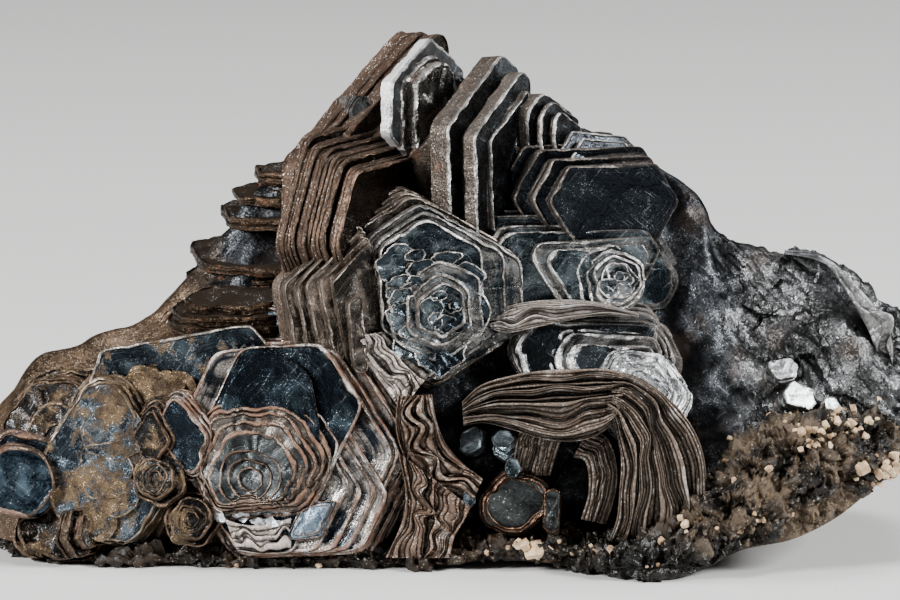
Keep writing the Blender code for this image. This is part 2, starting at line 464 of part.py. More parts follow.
# The rock, from the left end to the right one: how far right, then the front edge, the back edge, the top
# in front, the top at the back, and the underside.
ROCK_STATIONS = (
    (-30.2, -2.6, 4.4, 0.9, 1.2, 0.0),
    (-27.6, -6.8, 8.0, 1.2, 2.0, 0.0),
    (-22.0, -8.6, 10.2, 1.3, 2.6, 0.0),
    (-15.0, -9.2, 11.6, 1.2, 3.0, 0.0),
    (-8.0, -9.4, 12.4, 1.2, 3.2, 0.0),
    (-1.2, -9.8, 13.0, 1.4, 3.4, 0.0),
    (2.0, -10.0, 13.2, 1.8, 3.4, 0.5),
    (6.0, -10.4, 13.2, 2.1, 3.4, 0.5),
    (9.6, -11.2, 13.0, 2.3, 3.4, 0.0),
    (11.4, -13.2, 12.8, 2.6, 3.4, 0.0),
    (14.2, -13.6, 12.4, 3.2, 3.6, 0.0),
    (16.6, -12.4, 12.2, 5.4, 3.8, 0.5),
    (19.2, -12.0, 11.8, 8.6, 4.6, 1.7),
    (22.4, -11.6, 11.2, 9.8, 5.4, 2.3),
    (25.4, -10.6, 10.2, 10.2, 6.4, 3.6),
    (28.2, -9.0, 8.6, 9.8, 7.6, 5.5),
    (30.9, -5.8, 5.0, 8.6, 8.0, 6.6),
)

# Blocky grains of the pale mineral that the rock is full of: place (right, up, back), length, and turn.
ROCK_GRAINS = (
    ((16.7, 8.9, -11.6), 1.5, 20), ((18.1, 9.2, -11.3), 1.2, 50), ((22.6, 10.6, -9.6), 1.5, 10),
    ((24.3, 11.0, -9.0), 1.7, 40), ((26.2, 10.9, -8.6), 1.8, 65), ((23.3, 9.4, -11.0), 1.1, 30),
    ((25.1, 9.2, -10.6), 1.2, 15), ((27.6, 9.4, -9.0), 1.2, 70), ((20.6, 6.8, -12.0), 1.1, 35),
    ((22.4, 7.9, -11.8), 1.0, 5), ((24.8, 6.6, -11.2), 1.2, 55), ((27.0, 6.9, -10.2), 1.3, 25),
    ((28.9, 7.2, -8.4), 1.3, 60), ((18.6, 5.4, -12.3), 1.3, 45), ((20.9, 4.4, -12.0), 1.2, 12),
    ((23.2, 4.4, -11.6), 1.3, 75), ((25.6, 5.0, -10.8), 1.1, 33), ((17.2, 3.2, -12.8), 1.1, 18),
    ((-0.5, 2.5, -10.2), 1.0, 30), ((5.8, 2.6, -10.6), 1.1, 8), ((8.4, 2.5, -11.0), 1.0, 62),
    ((-22.0, 1.9, -8.8), 0.9, 40), ((12.4, 2.4, -13.4), 0.9, 22), ((15.0, 2.6, -13.4), 1.0, 70),
    ((-12.0, 6.2, 12.4), 1.3, 25), ((3.0, 6.0, 13.4), 1.4, 50), ((12.0, 6.4, 12.6), 1.5, 10),
    ((20.6, 8.0, 11.2), 1.4, 35), ((-21.0, 5.2, 10.6), 1.2, 60), ((26.4, 9.0, 8.8), 1.3, 15),
)
GRAIN_SHAPE = (1.0, 0.8, 0.7)  # length, width and height of a grain for a length of one
GRAIN_TAPER = 0.78  # how much smaller a grain's upper end is than its foot
GRAIN_AXIS = (0.35, 0.6, 1.0)  # the grains are turned about this line

# How the rock's cross-section is built from its stations.
ROCK_EDGE = 0.9  # how far the underside stays in from the front edge and from the back edge
ROCK_BROW, ROCK_SHOULDER = 2.2, 0.8  # how far in from the front and from the back the top starts
WAIST_SHARE = 0.5  # the front and the back reach furthest out at this share of their heights

CRYSTAL_COLOUR = (0.045, 0.050, 0.060, 1)
ROCK_COLOUR = (0.115, 0.085, 0.055, 1)


def loft(name, rings):
    """A closed solid through rings of equally many points."""
    build = bmesh.new()
    made = [[build.verts.new(point) for point in ring] for ring in rings]
    for ring, following in zip(made, made[1:]):
        for a, b, c, d in zip(ring, ring[1:] + ring[:1], following[1:] + following[:1], following):
            build.faces.new((a, b, c, d))
    build.faces.new(made[0])
    build.faces.new(made[-1])
    bmesh.ops.triangulate(build, faces=build.faces)
    return new_object(name, build)


def roughened(point, amount, grain):
    """The point moved by up to about this amount, unlike for points that lie a grain apart or more."""
    return point + noise.noise_vector(point / grain) * amount


def mass_rings():
    """Rings of the crystal mass: up its front, over the crest and down its back, rougher to the right."""
    rings = []
    for crest_seen, fronts, backs, foot in MASS_STATIONS:
        crest = seen(*crest_seen)
        levels = [foot + (crest.z - foot) * share for share in MASS_LEVELS]
        climb = [Vector((crest.x, y, z)) for y, z in zip(fronts, levels)]
        shoulder, brow = (
            Vector((crest.x, edge + (crest.y - edge) * CREST_LEAN, crest.z * height))
            for edge, height in ((fronts[-1], SHOULDER_HEIGHT), (backs[-1], BROW_HEIGHT))
        )
        descent = [Vector((crest.x, y, z)) for y, z in zip(reversed(backs), reversed(levels))]
        broken = min(1.0, max(0.0, (crest.x - BROKEN_START) / BROKEN_BLEND))
        front_roughness = GROWN_ROUGHNESS + BROKEN_ROUGHNESS * broken
        ring = [climb[0]]
        ring += [roughened(point, front_roughness, FRONT_GRAIN) for point in (climb[1], climb[2], shoulder)]
        ring += [crest]
        ring += [roughened(point, BACK_ROUGHNESS, BACK_GRAIN) for point in (brow, descent[0], descent[1])]
        ring += [descent[2]]
        rings.append(ring)
    return rings


def rock_rings():
    """Rings of the rock: along its underside and up over its rough front, top and back."""
    rings = []
    for right, front, back, front_top, back_top, under in ROCK_STATIONS:
        ring = [Vector((right, front + ROCK_EDGE, under)), Vector((right, back - ROCK_EDGE, under))]
        rough = [
            Vector((right, back, under + WAIST_SHARE * (back_top - under))),
            Vector((right, back - ROCK_SHOULDER, back_top)),
            Vector((right, (front + back) / 2, (front_top + back_top) / 2)),
            Vector((right, front + ROCK_BROW, front_top)),
            Vector((right, front, under + WAIST_SHARE * (front_top - under))),
        ]
        amount = min(ROCK_ROUGHNESS, THIN_ROCK_SHARE * (front_top - under))
        ring += [roughened(point, amount, ROCK_GRAIN) for point in rough]
        rings.append(ring)
    return rings


def grain_block(name, place, length, turn):
    """One grain: a block whose upper end is a little smaller than its foot."""
    build = bmesh.new()
    bmesh.ops.create_cube(build, size=length)
    for vert in build.verts:
        taper = GRAIN_TAPER if vert.co.z > 0 else 1.0
        vert.co = Vector((a * b for a, b in zip(vert.co, GRAIN_SHAPE))) * taper
    pose = Matrix.Translation(seen(*place)) @ Matrix.Rotation(math.radians(turn), 4, GRAIN_AXIS)
    build.transform(pose)
    return new_object(name, build)


def grouped(name, members):
    """A hidden collection, for the shapes that a Boolean takes together."""
    group = bpy.data.collections.new(name)
    bpy.context.scene.collection.children.link(group)
    for member in members:
        bpy.context.scene.collection.objects.unlink(member)
        group.objects.link(member)
        member.hide_render = True
        member.display_type = "WIRE"
    group.hide_render = True
    return group


def combine(target, operation, operand):
    """Apply a Boolean of the target with an object or with a collection of them."""
    boolean = target.modifiers.new(operation.title(), "BOOLEAN")
    boolean.operation = operation
    # Where this many plates cross, the exact solver leaves open edges and the manifold one does not.
    boolean.solver = "MANIFOLD"
    if isinstance(operand, bpy.types.Collection):
        boolean.operand_type = "COLLECTION"
        boolean.collection = operand
    else:
        boolean.object = operand
    apply_modifiers(target)


def apply_modifiers(target):
    bpy.context.view_layer.update()
    evaluated = target.evaluated_get(bpy.context.evaluated_depsgraph_get())
    finished = bpy.data.meshes.new_from_object(evaluated)
    target.modifiers.clear()
    target.data = finished


def keep_main_body(target):
    """Leave out chips that the cuts have set loose and pockets that are closed in on all sides."""
    build = bmesh.new()
    build.from_mesh(target.data)
    bmesh.ops.remove_doubles(build, verts=build.verts, dist=WELD)
    untaken, bodies = set(build.faces), []
    while untaken:
        body, waiting = set(), [untaken.pop()]
        while waiting:
            face = waiting.pop()
            body.add(face)
            for edge in face.edges:
                for neighbour in edge.link_faces:
                    if neighbour in untaken:
                        untaken.remove(neighbour)
                        waiting.append(neighbour)
        bodies.append(body)
    main = max(bodies, key=lambda body: sum(face.calc_area() for face in body))
    bmesh.ops.delete(build, geom=[face for face in build.faces if face not in main], context="FACES")
    bmesh.ops.triangulate(build, faces=build.faces)
    build.to_mesh(target.data)
    build.free()


def material(name, colour, roughness, metallic):
    made = bpy.data.materials.new(name)
    made.use_nodes = True
    shader = made.node_tree.nodes["Principled BSDF"]
    shader.inputs["Base Color"].default_value = colour
    shader.inputs["Roughness"].default_value = roughness
    shader.inputs["Metallic"].default_value = metallic
    made.diffuse_color = colour
    return made


def build_rock():
    rock = loft("rock_matrix", rock_rings())
    grains = [grain_block(f"grain_{number}", *grain) for number, grain in enumerate(ROCK_GRAINS)]
    combine(rock, "UNION", grouped("rock_grains", grains))
    keep_main_body(rock)
    rock.data.materials.clear()
    rock.data.materials.append(material("host_rock", ROCK_COLOUR, 0.75, 0.0))
    return rock


def build_cluster(rock):
    shapes = []
    for piles in (PILES, BACK_PILES, CLEAVAGE_FLATS):
        for name, layout in piles.items():
            shapes += pile(name, *layout)
    for name, layout in BENT_BOOKS.items():
        shapes += bent_book(name, *layout, LEAF_STEPS)
    cluster = loft("hematite_cluster", mass_rings())
    combine(cluster, "UNION", grouped("crystal_shapes", shapes))

    seam = bpy.data.objects.new("seam_cutter", rock.data.copy())
    bpy.context.scene.collection.objects.link(seam)
    swell = seam.modifiers.new("Swell", "DISPLACE")
    swell.mid_level = 0
    swell.strength = SEAM_GAP * MM
    apply_modifiers(seam)
    ground = loft("ground_cutter", [
        [Vector((right, y, z)) for y, z in ((-40, -20), (40, -20), (40, GROUND_GAP), (-40, GROUND_GAP))]
        for right in (-50, 50)
    ])
    combine(cluster, "DIFFERENCE", grouped("cutters", [seam, ground]))
    keep_main_body(cluster)
    cluster.data.materials.clear()
    cluster.data.materials.append(material("hematite", CRYSTAL_COLOUR, 0.35, 0.9))
    return cluster


for old in list(bpy.data.objects):
    bpy.data.objects.remove(old)
noise.seed_set(NOISE_SEED)
rock_matrix = build_rock()
hematite_cluster = build_cluster(rock_matrix)
for piece in (hematite_cluster, rock_matrix):
    piece.data.transform(Matrix.Translation(Vector(TO_ORIGIN) * MM))
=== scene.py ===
import math

import bpy
import numpy as np
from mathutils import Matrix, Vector, noise


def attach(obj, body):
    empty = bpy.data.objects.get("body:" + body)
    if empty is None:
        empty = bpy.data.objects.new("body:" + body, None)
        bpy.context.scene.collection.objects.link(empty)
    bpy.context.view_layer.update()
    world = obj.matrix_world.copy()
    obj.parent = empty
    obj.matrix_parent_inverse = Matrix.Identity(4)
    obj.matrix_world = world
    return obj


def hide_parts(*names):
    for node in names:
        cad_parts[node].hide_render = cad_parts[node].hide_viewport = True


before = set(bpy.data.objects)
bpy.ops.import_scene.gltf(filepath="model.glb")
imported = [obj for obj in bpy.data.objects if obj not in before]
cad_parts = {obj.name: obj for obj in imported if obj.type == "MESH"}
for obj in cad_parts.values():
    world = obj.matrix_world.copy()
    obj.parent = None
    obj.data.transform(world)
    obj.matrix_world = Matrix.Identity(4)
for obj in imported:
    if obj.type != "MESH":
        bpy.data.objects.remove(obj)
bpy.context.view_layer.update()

# ---------------------------------------------------------------------------------------------------------
# The crystal mass. Hematite that grew without room for plates: a dark, heavy, steel-grey body behind every
# rosette, rough at the back and broken open at its right end into small bright flats and hackly steps. It
# has grown over the host rock, and everything else in the cluster sprouts from it.
# ---------------------------------------------------------------------------------------------------------
MM = 0.001  # one millimetre in metres
TO_ORIGIN = np.array((0.224, -0.559, 0.0))  # moves the middle of the base to the origin, in millimetres
GROUND_GAP = 0.42  # the lowest crystal's height above the surface that the rock stands on
EYE_DISTANCE = 420.0  # from the eye to what it looks at
EYE_ELEVATION = math.radians(10.0)  # how steeply it looks down
EYE_LEVEL = 16.3  # the height of what it looks at
SHOWN_LEVEL = 19.0  # how far up that height shows
noise.seed_set(7)  # so that the noise is the same each time

# From the left end to the right one: where the crest shows (right, up, back), how far back the front lies
# at the foot, a third and two thirds up, the back at the same levels, and the height of the foot.
MASS_STATIONS = (
    ((-30.6, 11.0, 1.0), (-3.2, -3.0, -1.6), (4.6, 4.0, 3.0), 0.8),
    ((-28.0, 14.9, 1.5), (-5.4, -5.0, -2.4), (7.0, 6.4, 4.6), 0.8),
    ((-24.0, 16.4, 2.0), (-6.2, -5.4, -3.0), (8.2, 8.6, 6.4), 0.8),
    ((-19.5, 18.3, 3.0), (-6.6, -5.0, -2.6), (9.4, 10.0, 7.6), 0.8),
    ((-16.0, 22.2, 4.0), (-6.6, -4.4, -1.8), (10.0, 10.6, 8.6), 0.8),
    ((-12.8, 26.0, 4.6), (-6.6, -4.0, 0.2), (10.6, 11.4, 9.2), 0.8),
    ((-10.4, 27.4, 5.0), (-6.4, -3.6, 1.4), (10.8, 11.6, 9.6), 0.8),
    ((-8.2, 29.0, 5.4), (-6.2, -3.4, 1.8), (11.2, 12.0, 9.4), 0.8),
    ((-5.6, 32.4, 5.6), (-6.2, -3.4, 1.8), (11.2, 12.0, 9.4), 0.8),
    ((-2.6, 34.0, 5.6), (-6.0, -3.2, 1.8), (11.4, 12.2, 9.0), 0.8),
    ((0.2, 33.8, 5.2), (-6.0, -3.2, 1.6), (11.4, 12.2, 9.0), 0.8),
    ((3.6, 32.0, 5.2), (-6.0, -3.0, 1.2), (11.4, 12.4, 9.2), 0.8),
    ((6.4, 30.4, 4.8), (-6.0, -3.0, 0.8), (11.4, 12.6, 9.4), 0.8),
    ((9.4, 30.3, 3.6), (-6.4, -3.2, 0.4), (11.4, 12.6, 9.2), 0.8),
    ((12.4, 28.8, 3.0), (-7.0, -3.8, -0.2), (11.2, 12.2, 8.6), 0.8),
    ((14.6, 27.3, 2.6), (-7.6, -4.4, -0.8), (11.0, 11.8, 8.0), 0.8),
    ((16.6, 25.6, 2.2), (-8.4, -5.4, -1.4), (10.8, 11.4, 7.6), 1.2),
    ((18.4, 23.3, 1.6), (-8.8, -6.2, -2.0), (10.8, 11.0, 7.2), 2.4),
    ((21.0, 22.5, 1.4), (-8.8, -6.8, -2.4), (10.2, 10.4, 7.0), 3.2),
    ((23.8, 22.0, 1.2), (-8.4, -7.0, -2.8), (9.4, 9.8, 6.6), 4.2),
    ((26.4, 20.8, 1.0), (-7.8, -6.6, -2.8), (8.4, 8.8, 6.0), 5.4),
    ((28.8, 19.1, 0.8), (-6.6, -5.8, -2.6), (7.0, 7.4, 5.0), 6.8),
    ((30.6, 17.3, 0.8), (-4.2, -4.0, -2.0), (4.2, 4.6, 3.4), 7.6),
)
MASS_LEVELS = (0.0, 0.34, 0.68)
CREST_SHARES = (0.45, 0.55)  # between the highest level's point and the crest, for the shoulder and the brow
SHOULDER_LEVEL, BROW_LEVEL = 0.88, 0.90  # their heights, as shares of the crest's
ROUGHER_FROM, ROUGHER_OVER = 12, 5  # the front's bulges grow from this far right, over this distance
FRONT_BULGES, BACK_BULGES = (0.4, 0.9, 3.1), (1.3, 3.7)  # how far they reach, how much more, and their size
BROKEN_FROM = 18.0  # the broken end starts this far right
MASS_COLUMNS = (170, 180)  # across the grown part, and across the broken end
MASS_RINGS = (165, 85)  # up the front, and down the back
HOLLOW = np.array((25.6, -4.5, 16.6))  # a smooth hollow in the broken end, and how far it reaches each way
HOLLOW_REACH = np.array((2.0, 5.0, 3.4))
# The sparkling spot is where the most grains of the broken end are painted near white as painted glints.
SPARKLING_SPOT, SPARKLING_REACH = (21.0, 19.6), (3.2, 3.6)  # where its grains sparkle most: right and height


def seen(right, up, back):
    """Points, so far back, that show so far right and up to an eye in front and ten degrees above:
    height = (rise (1 + back cos / distance) - back sin) / (cos + rise sin / distance)."""
    right, up, back = np.broadcast_arrays(*(np.asarray(value, float) for value in (right, up, back)))
    sine, cosine = math.sin(EYE_ELEVATION), math.cos(EYE_ELEVATION)
    rise = up - SHOWN_LEVEL
    height = (rise * (1 + back * cosine / EYE_DISTANCE) - back * sine) / (cosine + rise * sine / EYE_DISTANCE)
    away = 1 + (back * cosine - height * sine) / EYE_DISTANCE
    return np.stack((right * away, back, EYE_LEVEL + height), -1)


def scattered(cells, seed):
    """Three random numbers from -1 to 1 for each whole-numbered cell: its numbers, multiplied and folded."""
    mixed = (cells[..., 0] * 73856093) ^ (cells[..., 1] * 19349663) ^ (cells[..., 2] * 83492791)
    mixed = (mixed ^ (seed * 97531)) & 0x7FFFFFFF
    drawn = []
    for factor in (739982445, 695872825, 1103515245):
        mixed = ((mixed ^ (mixed >> 15)) * factor) & 0x7FFFFFFF
        mixed = ((mixed ^ (mixed >> 12)) * 1220703125) & 0x7FFFFFFF
        drawn.append((mixed ^ (mixed >> 16)) / 0x3FFFFFFF - 1.0)
    return np.stack(drawn, -1)


def mottled(points, size, seed):
    """Smooth noise, three values from -1 to 1: random numbers at the corners of cubes of this size, blended
    from corner to corner by 3t^2 - 2t^3."""
    place = points / size
    cell = np.floor(place).astype(np.int64)
    share = place - cell
    share = share * share * (3 - 2 * share)
    total = np.zeros(points.shape)
    for corner in np.ndindex(2, 2, 2):
        weight = np.where(np.array(corner, bool), share, 1 - share).prod(-1)
        total += weight[..., None] * scattered(cell + np.array(corner), seed)
    return total


def chipped(points, size, seed, tilt):
    """Broken facets: each point takes the nearest of the irregular cells of about this size, and the height
    over a cell is a plane of its own, size (offset + tilt slope . (point - centre))."""
    place = points / size
    cell = np.floor(place).astype(np.int64)
    nearest = np.full(points.shape[:-1], np.inf)
    height = np.zeros(points.shape[:-1])
    for step in np.ndindex(3, 3, 3):
        here = cell + np.array(step) - 1
        away = place - (here + 0.5 + 0.42 * scattered(here, seed))
        distance = (away**2).sum(-1)
        slope = scattered(here, seed + 7)
        plane = size * (0.25 * slope[..., 0] + tilt * (away * slope).sum(-1))
        height = np.where(distance < nearest, plane, height)
        nearest = np.minimum(distance, nearest)
    return height


def smooth_along(points, places):
    """The Catmull-Rom curve through points[0], points[1], ..., read at these places along the list."""
    last = len(points) - 1
    start = np.clip(places.astype(int), 0, last - 1)
    part = (places - start).reshape((-1,) + (1,) * (points.ndim - 1))
    before, here, after, beyond = (points[np.clip(start + step, 0, last)] for step in (-1, 0, 1, 2))
    return 0.5 * (2 * here + (after - before) * part + (2 * before - 5 * here + 4 * after - beyond) * part**2
                  + (3 * here - before - 3 * after + beyond) * part**3)


def outward(grid):
    """Unit normals of a grid of points, from the differences along its rows and round its columns."""
    along_rows = np.gradient(grid, axis=0)
    round_columns = np.roll(grid, -1, 1) - np.roll(grid, 1, 1)
    normal = np.cross(round_columns, along_rows)
    return normal / np.maximum(np.linalg.norm(normal, axis=-1, keepdims=True), 1e-9)


def shells(grids, marks):
    """Closed shells from grids of points (shell, ring, point round the ring): four-sided faces between
    rings, and a fan from the middle of the first ring and of the last. Marks are four numbers a point, and
    for plates three more: how far across the sheets, how far along the edge, and which pile."""
    count, rings, columns = grids.shape[:3]
    middles = grids[:, [0, -1]].mean(2)
    points = np.concatenate([grids.reshape(count, -1, 3), middles], 1)
    colours = np.concatenate([marks.reshape(count, -1, marks.shape[-1]), marks[:, [0, -1]].mean(2)], 1)
    here = np.arange(columns)
    after = (here + 1) % columns
    ring = (np.arange(rings - 1) * columns)[:, None]
    quads = np.stack([ring + here, ring + after, ring + after + columns, ring + here + columns], -1)
    quads = quads.reshape(-1, 4)
    top = (rings - 1) * columns
    first = np.stack([np.full(columns, rings * columns), after, here], -1)
    final = np.stack([np.full(columns, rings * columns + 1), top + here, top + after], -1)
    start = (np.arange(count) * points.shape[1])[:, None, None]
    return (points.reshape(-1, 3), colours.reshape(-1, marks.shape[-1]), (start + quads).reshape(-1, 4),
            (start + np.concatenate([first, final])).reshape(-1, 3))


def make_piece(name, parts, finish, crease=32, node="hematite_cluster"):
    """One piece from shells in millimetres: joined into one mesh, turned right side out, smooth except at
    edges sharper than the crease, kept above the ground, and hung on the specimen in place of its solid."""
    start = np.cumsum([0] + [len(part[0]) for part in parts])
    points = np.concatenate([part[0] for part in parts]) + TO_ORIGIN
    points[:, 2] = np.maximum(points[:, 2], GROUND_GAP if node == "hematite_cluster" else 0.0)
    quads = np.concatenate([part[2] + shift for part, shift in zip(parts, start)])
    fans = np.concatenate([part[3] + shift for part, shift in zip(parts, start)])
    a, b, c = (points[fans[:, corner]] for corner in range(3))
    volume = np.einsum("ij,ij->", a, np.cross(b, c))
    for p, q, r in ((0, 1, 2), (0, 2, 3)):
        volume += np.einsum("ij,ij->", points[quads[:, p]],
                            np.cross(points[quads[:, q]], points[quads[:, r]]))
    if volume < 0:
        quads, fans = quads[:, ::-1], fans[:, ::-1]
    corners = np.concatenate([quads.ravel(), fans.ravel()]).astype(np.int32)
    sizes = np.concatenate([np.full(len(quads), 4), np.full(len(fans), 3)])
    mesh = bpy.data.meshes.new(name)
    mesh.vertices.add(len(points))
    mesh.vertices.foreach_set("co", (points * MM).astype(np.float32).ravel())
    mesh.loops.add(len(corners))
    mesh.loops.foreach_set("vertex_index", corners)
    mesh.polygons.add(len(sizes))
    mesh.polygons.foreach_set("loop_start", (np.cumsum(sizes) - sizes).astype(np.int32))
    mesh.update(calc_edges=True)
    values = np.concatenate([part[1] for part in parts]).astype(np.float32)
    marks = mesh.color_attributes.new(name="growth_marks", type="FLOAT_COLOR", domain="POINT")
    marks.data.foreach_set("color", values[:, :4].ravel())
    if values.shape[1] > 4:
        run = mesh.attributes.new(name="growth_run", type="FLOAT_VECTOR", domain="POINT")
        run.data.foreach_set("vector", values[:, 4:].ravel())
    mesh.shade_smooth()
    mesh.set_sharp_from_angle(angle=math.radians(crease))
    mesh.materials.append(finish)
    piece = bpy.data.objects.new(name, mesh)
    bpy.context.scene.collection.objects.link(piece)
    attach(piece, "root")
    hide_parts(node)


def fill(tree, node, inputs):
    """Gives a node its inputs: one given as a socket is linked, and any other is a value or a colour."""
    for label, value in dict(inputs).items():
        socket = node.inputs[label]
        if isinstance(value, bpy.types.NodeSocket):
            tree.links.new(value, socket)
        else:
            socket.default_value = (*value, 1) if socket.type == "RGBA" else value


def add(tree, kind, inputs=(), **settings):
    """A shader node with these inputs and settings."""
    made = tree.nodes.new(kind)
    for label, value in settings.items():
        setattr(made, label, value)
    fill(tree, made, inputs)
    return made


def calc(tree, operation, *values):
    """One value worked out from others."""
    return add(tree, "ShaderNodeMath", dict(enumerate(values)), operation=operation).outputs[0]


def times(tree, first, second):
    """The first value times the second."""
    return calc(tree, "MULTIPLY", first, second)


def blend(tree, mask, first, second):
    """A colour between two, as the mask says."""
    return add(tree, "ShaderNodeMix", {0: mask, 6: first, 7: second}, data_type="RGBA").outputs[2]


def between(tree, mask, first, second):
    """A value between two, as the mask says."""
    return add(tree, "ShaderNodeMix", {0: mask, 2: first, 3: second}).outputs[0]


def swing(tree, mask, first, second):
    """A normal between two, as the mask says."""
    return add(tree, "ShaderNodeMix", {0: mask, 4: first, 5: second}, data_type="VECTOR").outputs[1]


def cloudy(tree, spot, scale, detail, roughness=0.5, distortion=0.0):
    """Noise from 0 to 1, in patches of about a metre divided by the scale."""
    inputs = {"Vector": spot, "Scale": scale, "Detail": detail, "Roughness": roughness,
              "Distortion": distortion}
    return add(tree, "ShaderNodeTexNoise", inputs).outputs["Fac"]


def fade(tree, value, low, high):
    """From 0 at the low value to 1 at the high one, with soft ends."""
    levels = {"Value": value, "From Min": low, "From Max": high}
    return add(tree, "ShaderNodeMapRange", levels, interpolation_type="SMOOTHSTEP").outputs[0]


def growth_parts(tree):
    """The colour channels of the growth_marks attribute, each as a value."""
    marks = add(tree, "ShaderNodeAttribute", attribute_name="growth_marks").outputs["Color"]
    return add(tree, "ShaderNodeSeparateColor", {0: marks}).outputs


def effect(name, inputs, outputs):
    """A shader node group with these inputs (label, kind, value) and outputs (label, kind)."""
    group = bpy.data.node_groups.new(name, "ShaderNodeTree")
    for label, kind, value in inputs:
        socket = group.interface.new_socket(label, in_out="INPUT", socket_type=kind)
        socket.default_value = value
    for label, kind in outputs:
        group.interface.new_socket(label, in_out="OUTPUT", socket_type=kind)
    return group, group.nodes.new("NodeGroupInput").outputs, group.nodes.new("NodeGroupOutput").inputs


def use(tree, group, inputs=()):
    """Places an effect in a material with its own values, and gives its outputs."""
    return add(tree, "ShaderNodeGroup", inputs, node_tree=group).outputs


def glitter_effect():
    """Grains a fraction of a millimetre across, each turned its own way: a number and a tilted normal for
    each grain, and a mask of the few that flash, which lie in clumps. Most finishes paint glints into their
    colour under this mask."""
    tree, given, result = effect(
        "glitter", (("Grains per Metre", "NodeSocketFloat", 9000.0), ("Turn", "NodeSocketFloat", 0.5),
                    ("Flashing", "NodeSocketFloat", 0.1)),
        (("Grain", "NodeSocketFloat"), ("Flash", "NodeSocketFloat"), ("Normal", "NodeSocketVector")))
    spot = add(tree, "ShaderNodeTexCoord").outputs["Object"]
    grains = add(tree, "ShaderNodeTexVoronoi", {"Vector": spot, "Scale": given["Grains per Metre"]})
    parts = add(tree, "ShaderNodeSeparateColor", {0: grains.outputs["Color"]})
    clumps = cloudy(tree, spot, times(tree, given["Grains per Metre"], 0.09), 3.0, 0.7)
    share = times(tree, given["Flashing"], between(tree, fade(tree, clumps, 0.40, 0.70), 0.2, 3.8))
    turned = add(tree, "ShaderNodeVectorMath", {0: grains.outputs["Color"], 1: (-0.5, -0.5, -0.5)},
                 operation="ADD")
    turned = add(tree, "ShaderNodeVectorMath", {0: turned.outputs[0], "Scale": given["Turn"]},
                 operation="SCALE")
    face = add(tree, "ShaderNodeNewGeometry").outputs["Normal"]
    tilted = add(tree, "ShaderNodeVectorMath", {0: face, 1: turned.outputs[0]}, operation="ADD")
    tilted = add(tree, "ShaderNodeVectorMath", {0: tilted.outputs[0]}, operation="NORMALIZE")
    tree.links.new(parts.outputs[0], result["Grain"])
    small = calc(tree, "LESS_THAN", grains.outputs["Distance"], between(tree, parts.outputs[2], 0.22, 0.75))
    tree.links.new(times(tree, small, calc(tree, "LESS_THAN", parts.outputs[1], share)), result["Flash"])
    tree.links.new(tilted.outputs[0], result["Normal"])
    return tree


def marks_effect():
    """What the growth_marks attribute says of a plate: its edge, where the finishes paint the rim bright as a
    painted highlight, with the edge's border made uneven by noise, its wall, the tint of its sheet, and how
    far up its pile it lies."""
    tree, given, result = effect(
        "growth marks", (("Unevenness", "NodeSocketFloat", 0.25),),
        (("Edge", "NodeSocketFloat"), ("Wall", "NodeSocketFloat"), ("Tint", "NodeSocketFloat"),
         ("Level", "NodeSocketFloat")))
    marks = add(tree, "ShaderNodeAttribute", attribute_name="growth_marks")
    parts = add(tree, "ShaderNodeSeparateColor", {0: marks.outputs["Color"]})
    spot = add(tree, "ShaderNodeTexCoord").outputs["Object"]
    border_noise = cloudy(tree, spot, 3500.0, 3.0, 0.65)
    shift = times(tree, calc(tree, "SUBTRACT", border_noise, 0.5), given["Unevenness"])
    edge = fade(tree, calc(tree, "ADD", parts.outputs[0], times(tree, shift, 2.0)), 0.3, 0.7)
    tree.links.new(edge, result["Edge"])
    tree.links.new(parts.outputs[1], result["Wall"])
    tree.links.new(parts.outputs[2], result["Tint"])
    tree.links.new(marks.outputs["Alpha"], result["Level"])
    return tree


def scratches_effect():
    """Fine straight scratches: three sets of thin sheets, leaning their own ways, meet the face in lines."""
    tree, given, result = effect(
        "scratches", (("Amount", "NodeSocketFloat", 0.5),), (("Lines", "NodeSocketFloat"),))
    spot = add(tree, "ShaderNodeTexCoord").outputs["Object"]
    total = 0.0
    for lean, across in (((0.3, 0.9, 0.2), 9000), ((-0.5, 0.4, 1.1), 7000), ((0.9, -0.3, -0.6), 11000)):
        turned = add(tree, "ShaderNodeVectorRotate", {"Vector": spot, "Rotation": lean},
                     rotation_type="EULER_XYZ")
        laid = add(tree, "ShaderNodeVectorMath", {0: turned.outputs[0], 1: (across, 420, 420)},
                   operation="MULTIPLY")
        sheets = cloudy(tree, laid.outputs[0], 1.0, 1.0, distortion=0.5)
        total = calc(tree, "MAXIMUM", total, fade(tree, sheets, 0.70, 0.76))
    tree.links.new(times(tree, total, given["Amount"]), result["Lines"])
    return tree


def stripes_effect():
    """Growth stripes that run along a plate's edges and round its face: noise drawn out along the edge, in
    fine stripes and in broad ones."""
    tree, given, result = effect(
        "growth stripes", (("Stripes per Millimetre", "NodeSocketFloat", 9.0),),
        (("Fine", "NodeSocketFloat"), ("Broad", "NodeSocketFloat")))
    run = add(tree, "ShaderNodeAttribute", attribute_name="growth_run").outputs["Vector"]
    for label, share, along in (("Fine", 1.0, 0.45), ("Broad", 0.3, 0.22)):
        drawn = add(tree, "ShaderNodeCombineXYZ", {0: times(tree, given[0], share), 1: along, 2: 1.0})
        drawn = add(tree, "ShaderNodeVectorMath", {0: run, 1: drawn.outputs[0]}, operation="MULTIPLY")
        stripes = cloudy(tree, drawn.outputs[0], 1.0, 2.0, 0.6)
        tree.links.new(stripes, result[label])
    return tree


GLITTER = glitter_effect()
GROWTH_MARKS = marks_effect()
SCRATCHES = scratches_effect()
STRIPES = stripes_effect()


def glitter(tree, grains, turn, flashing):
    """So many grains a metre, that are tilted and that flash so much."""
    return use(tree, GLITTER, {"Grains per Metre": grains, "Turn": turn, "Flashing": flashing})


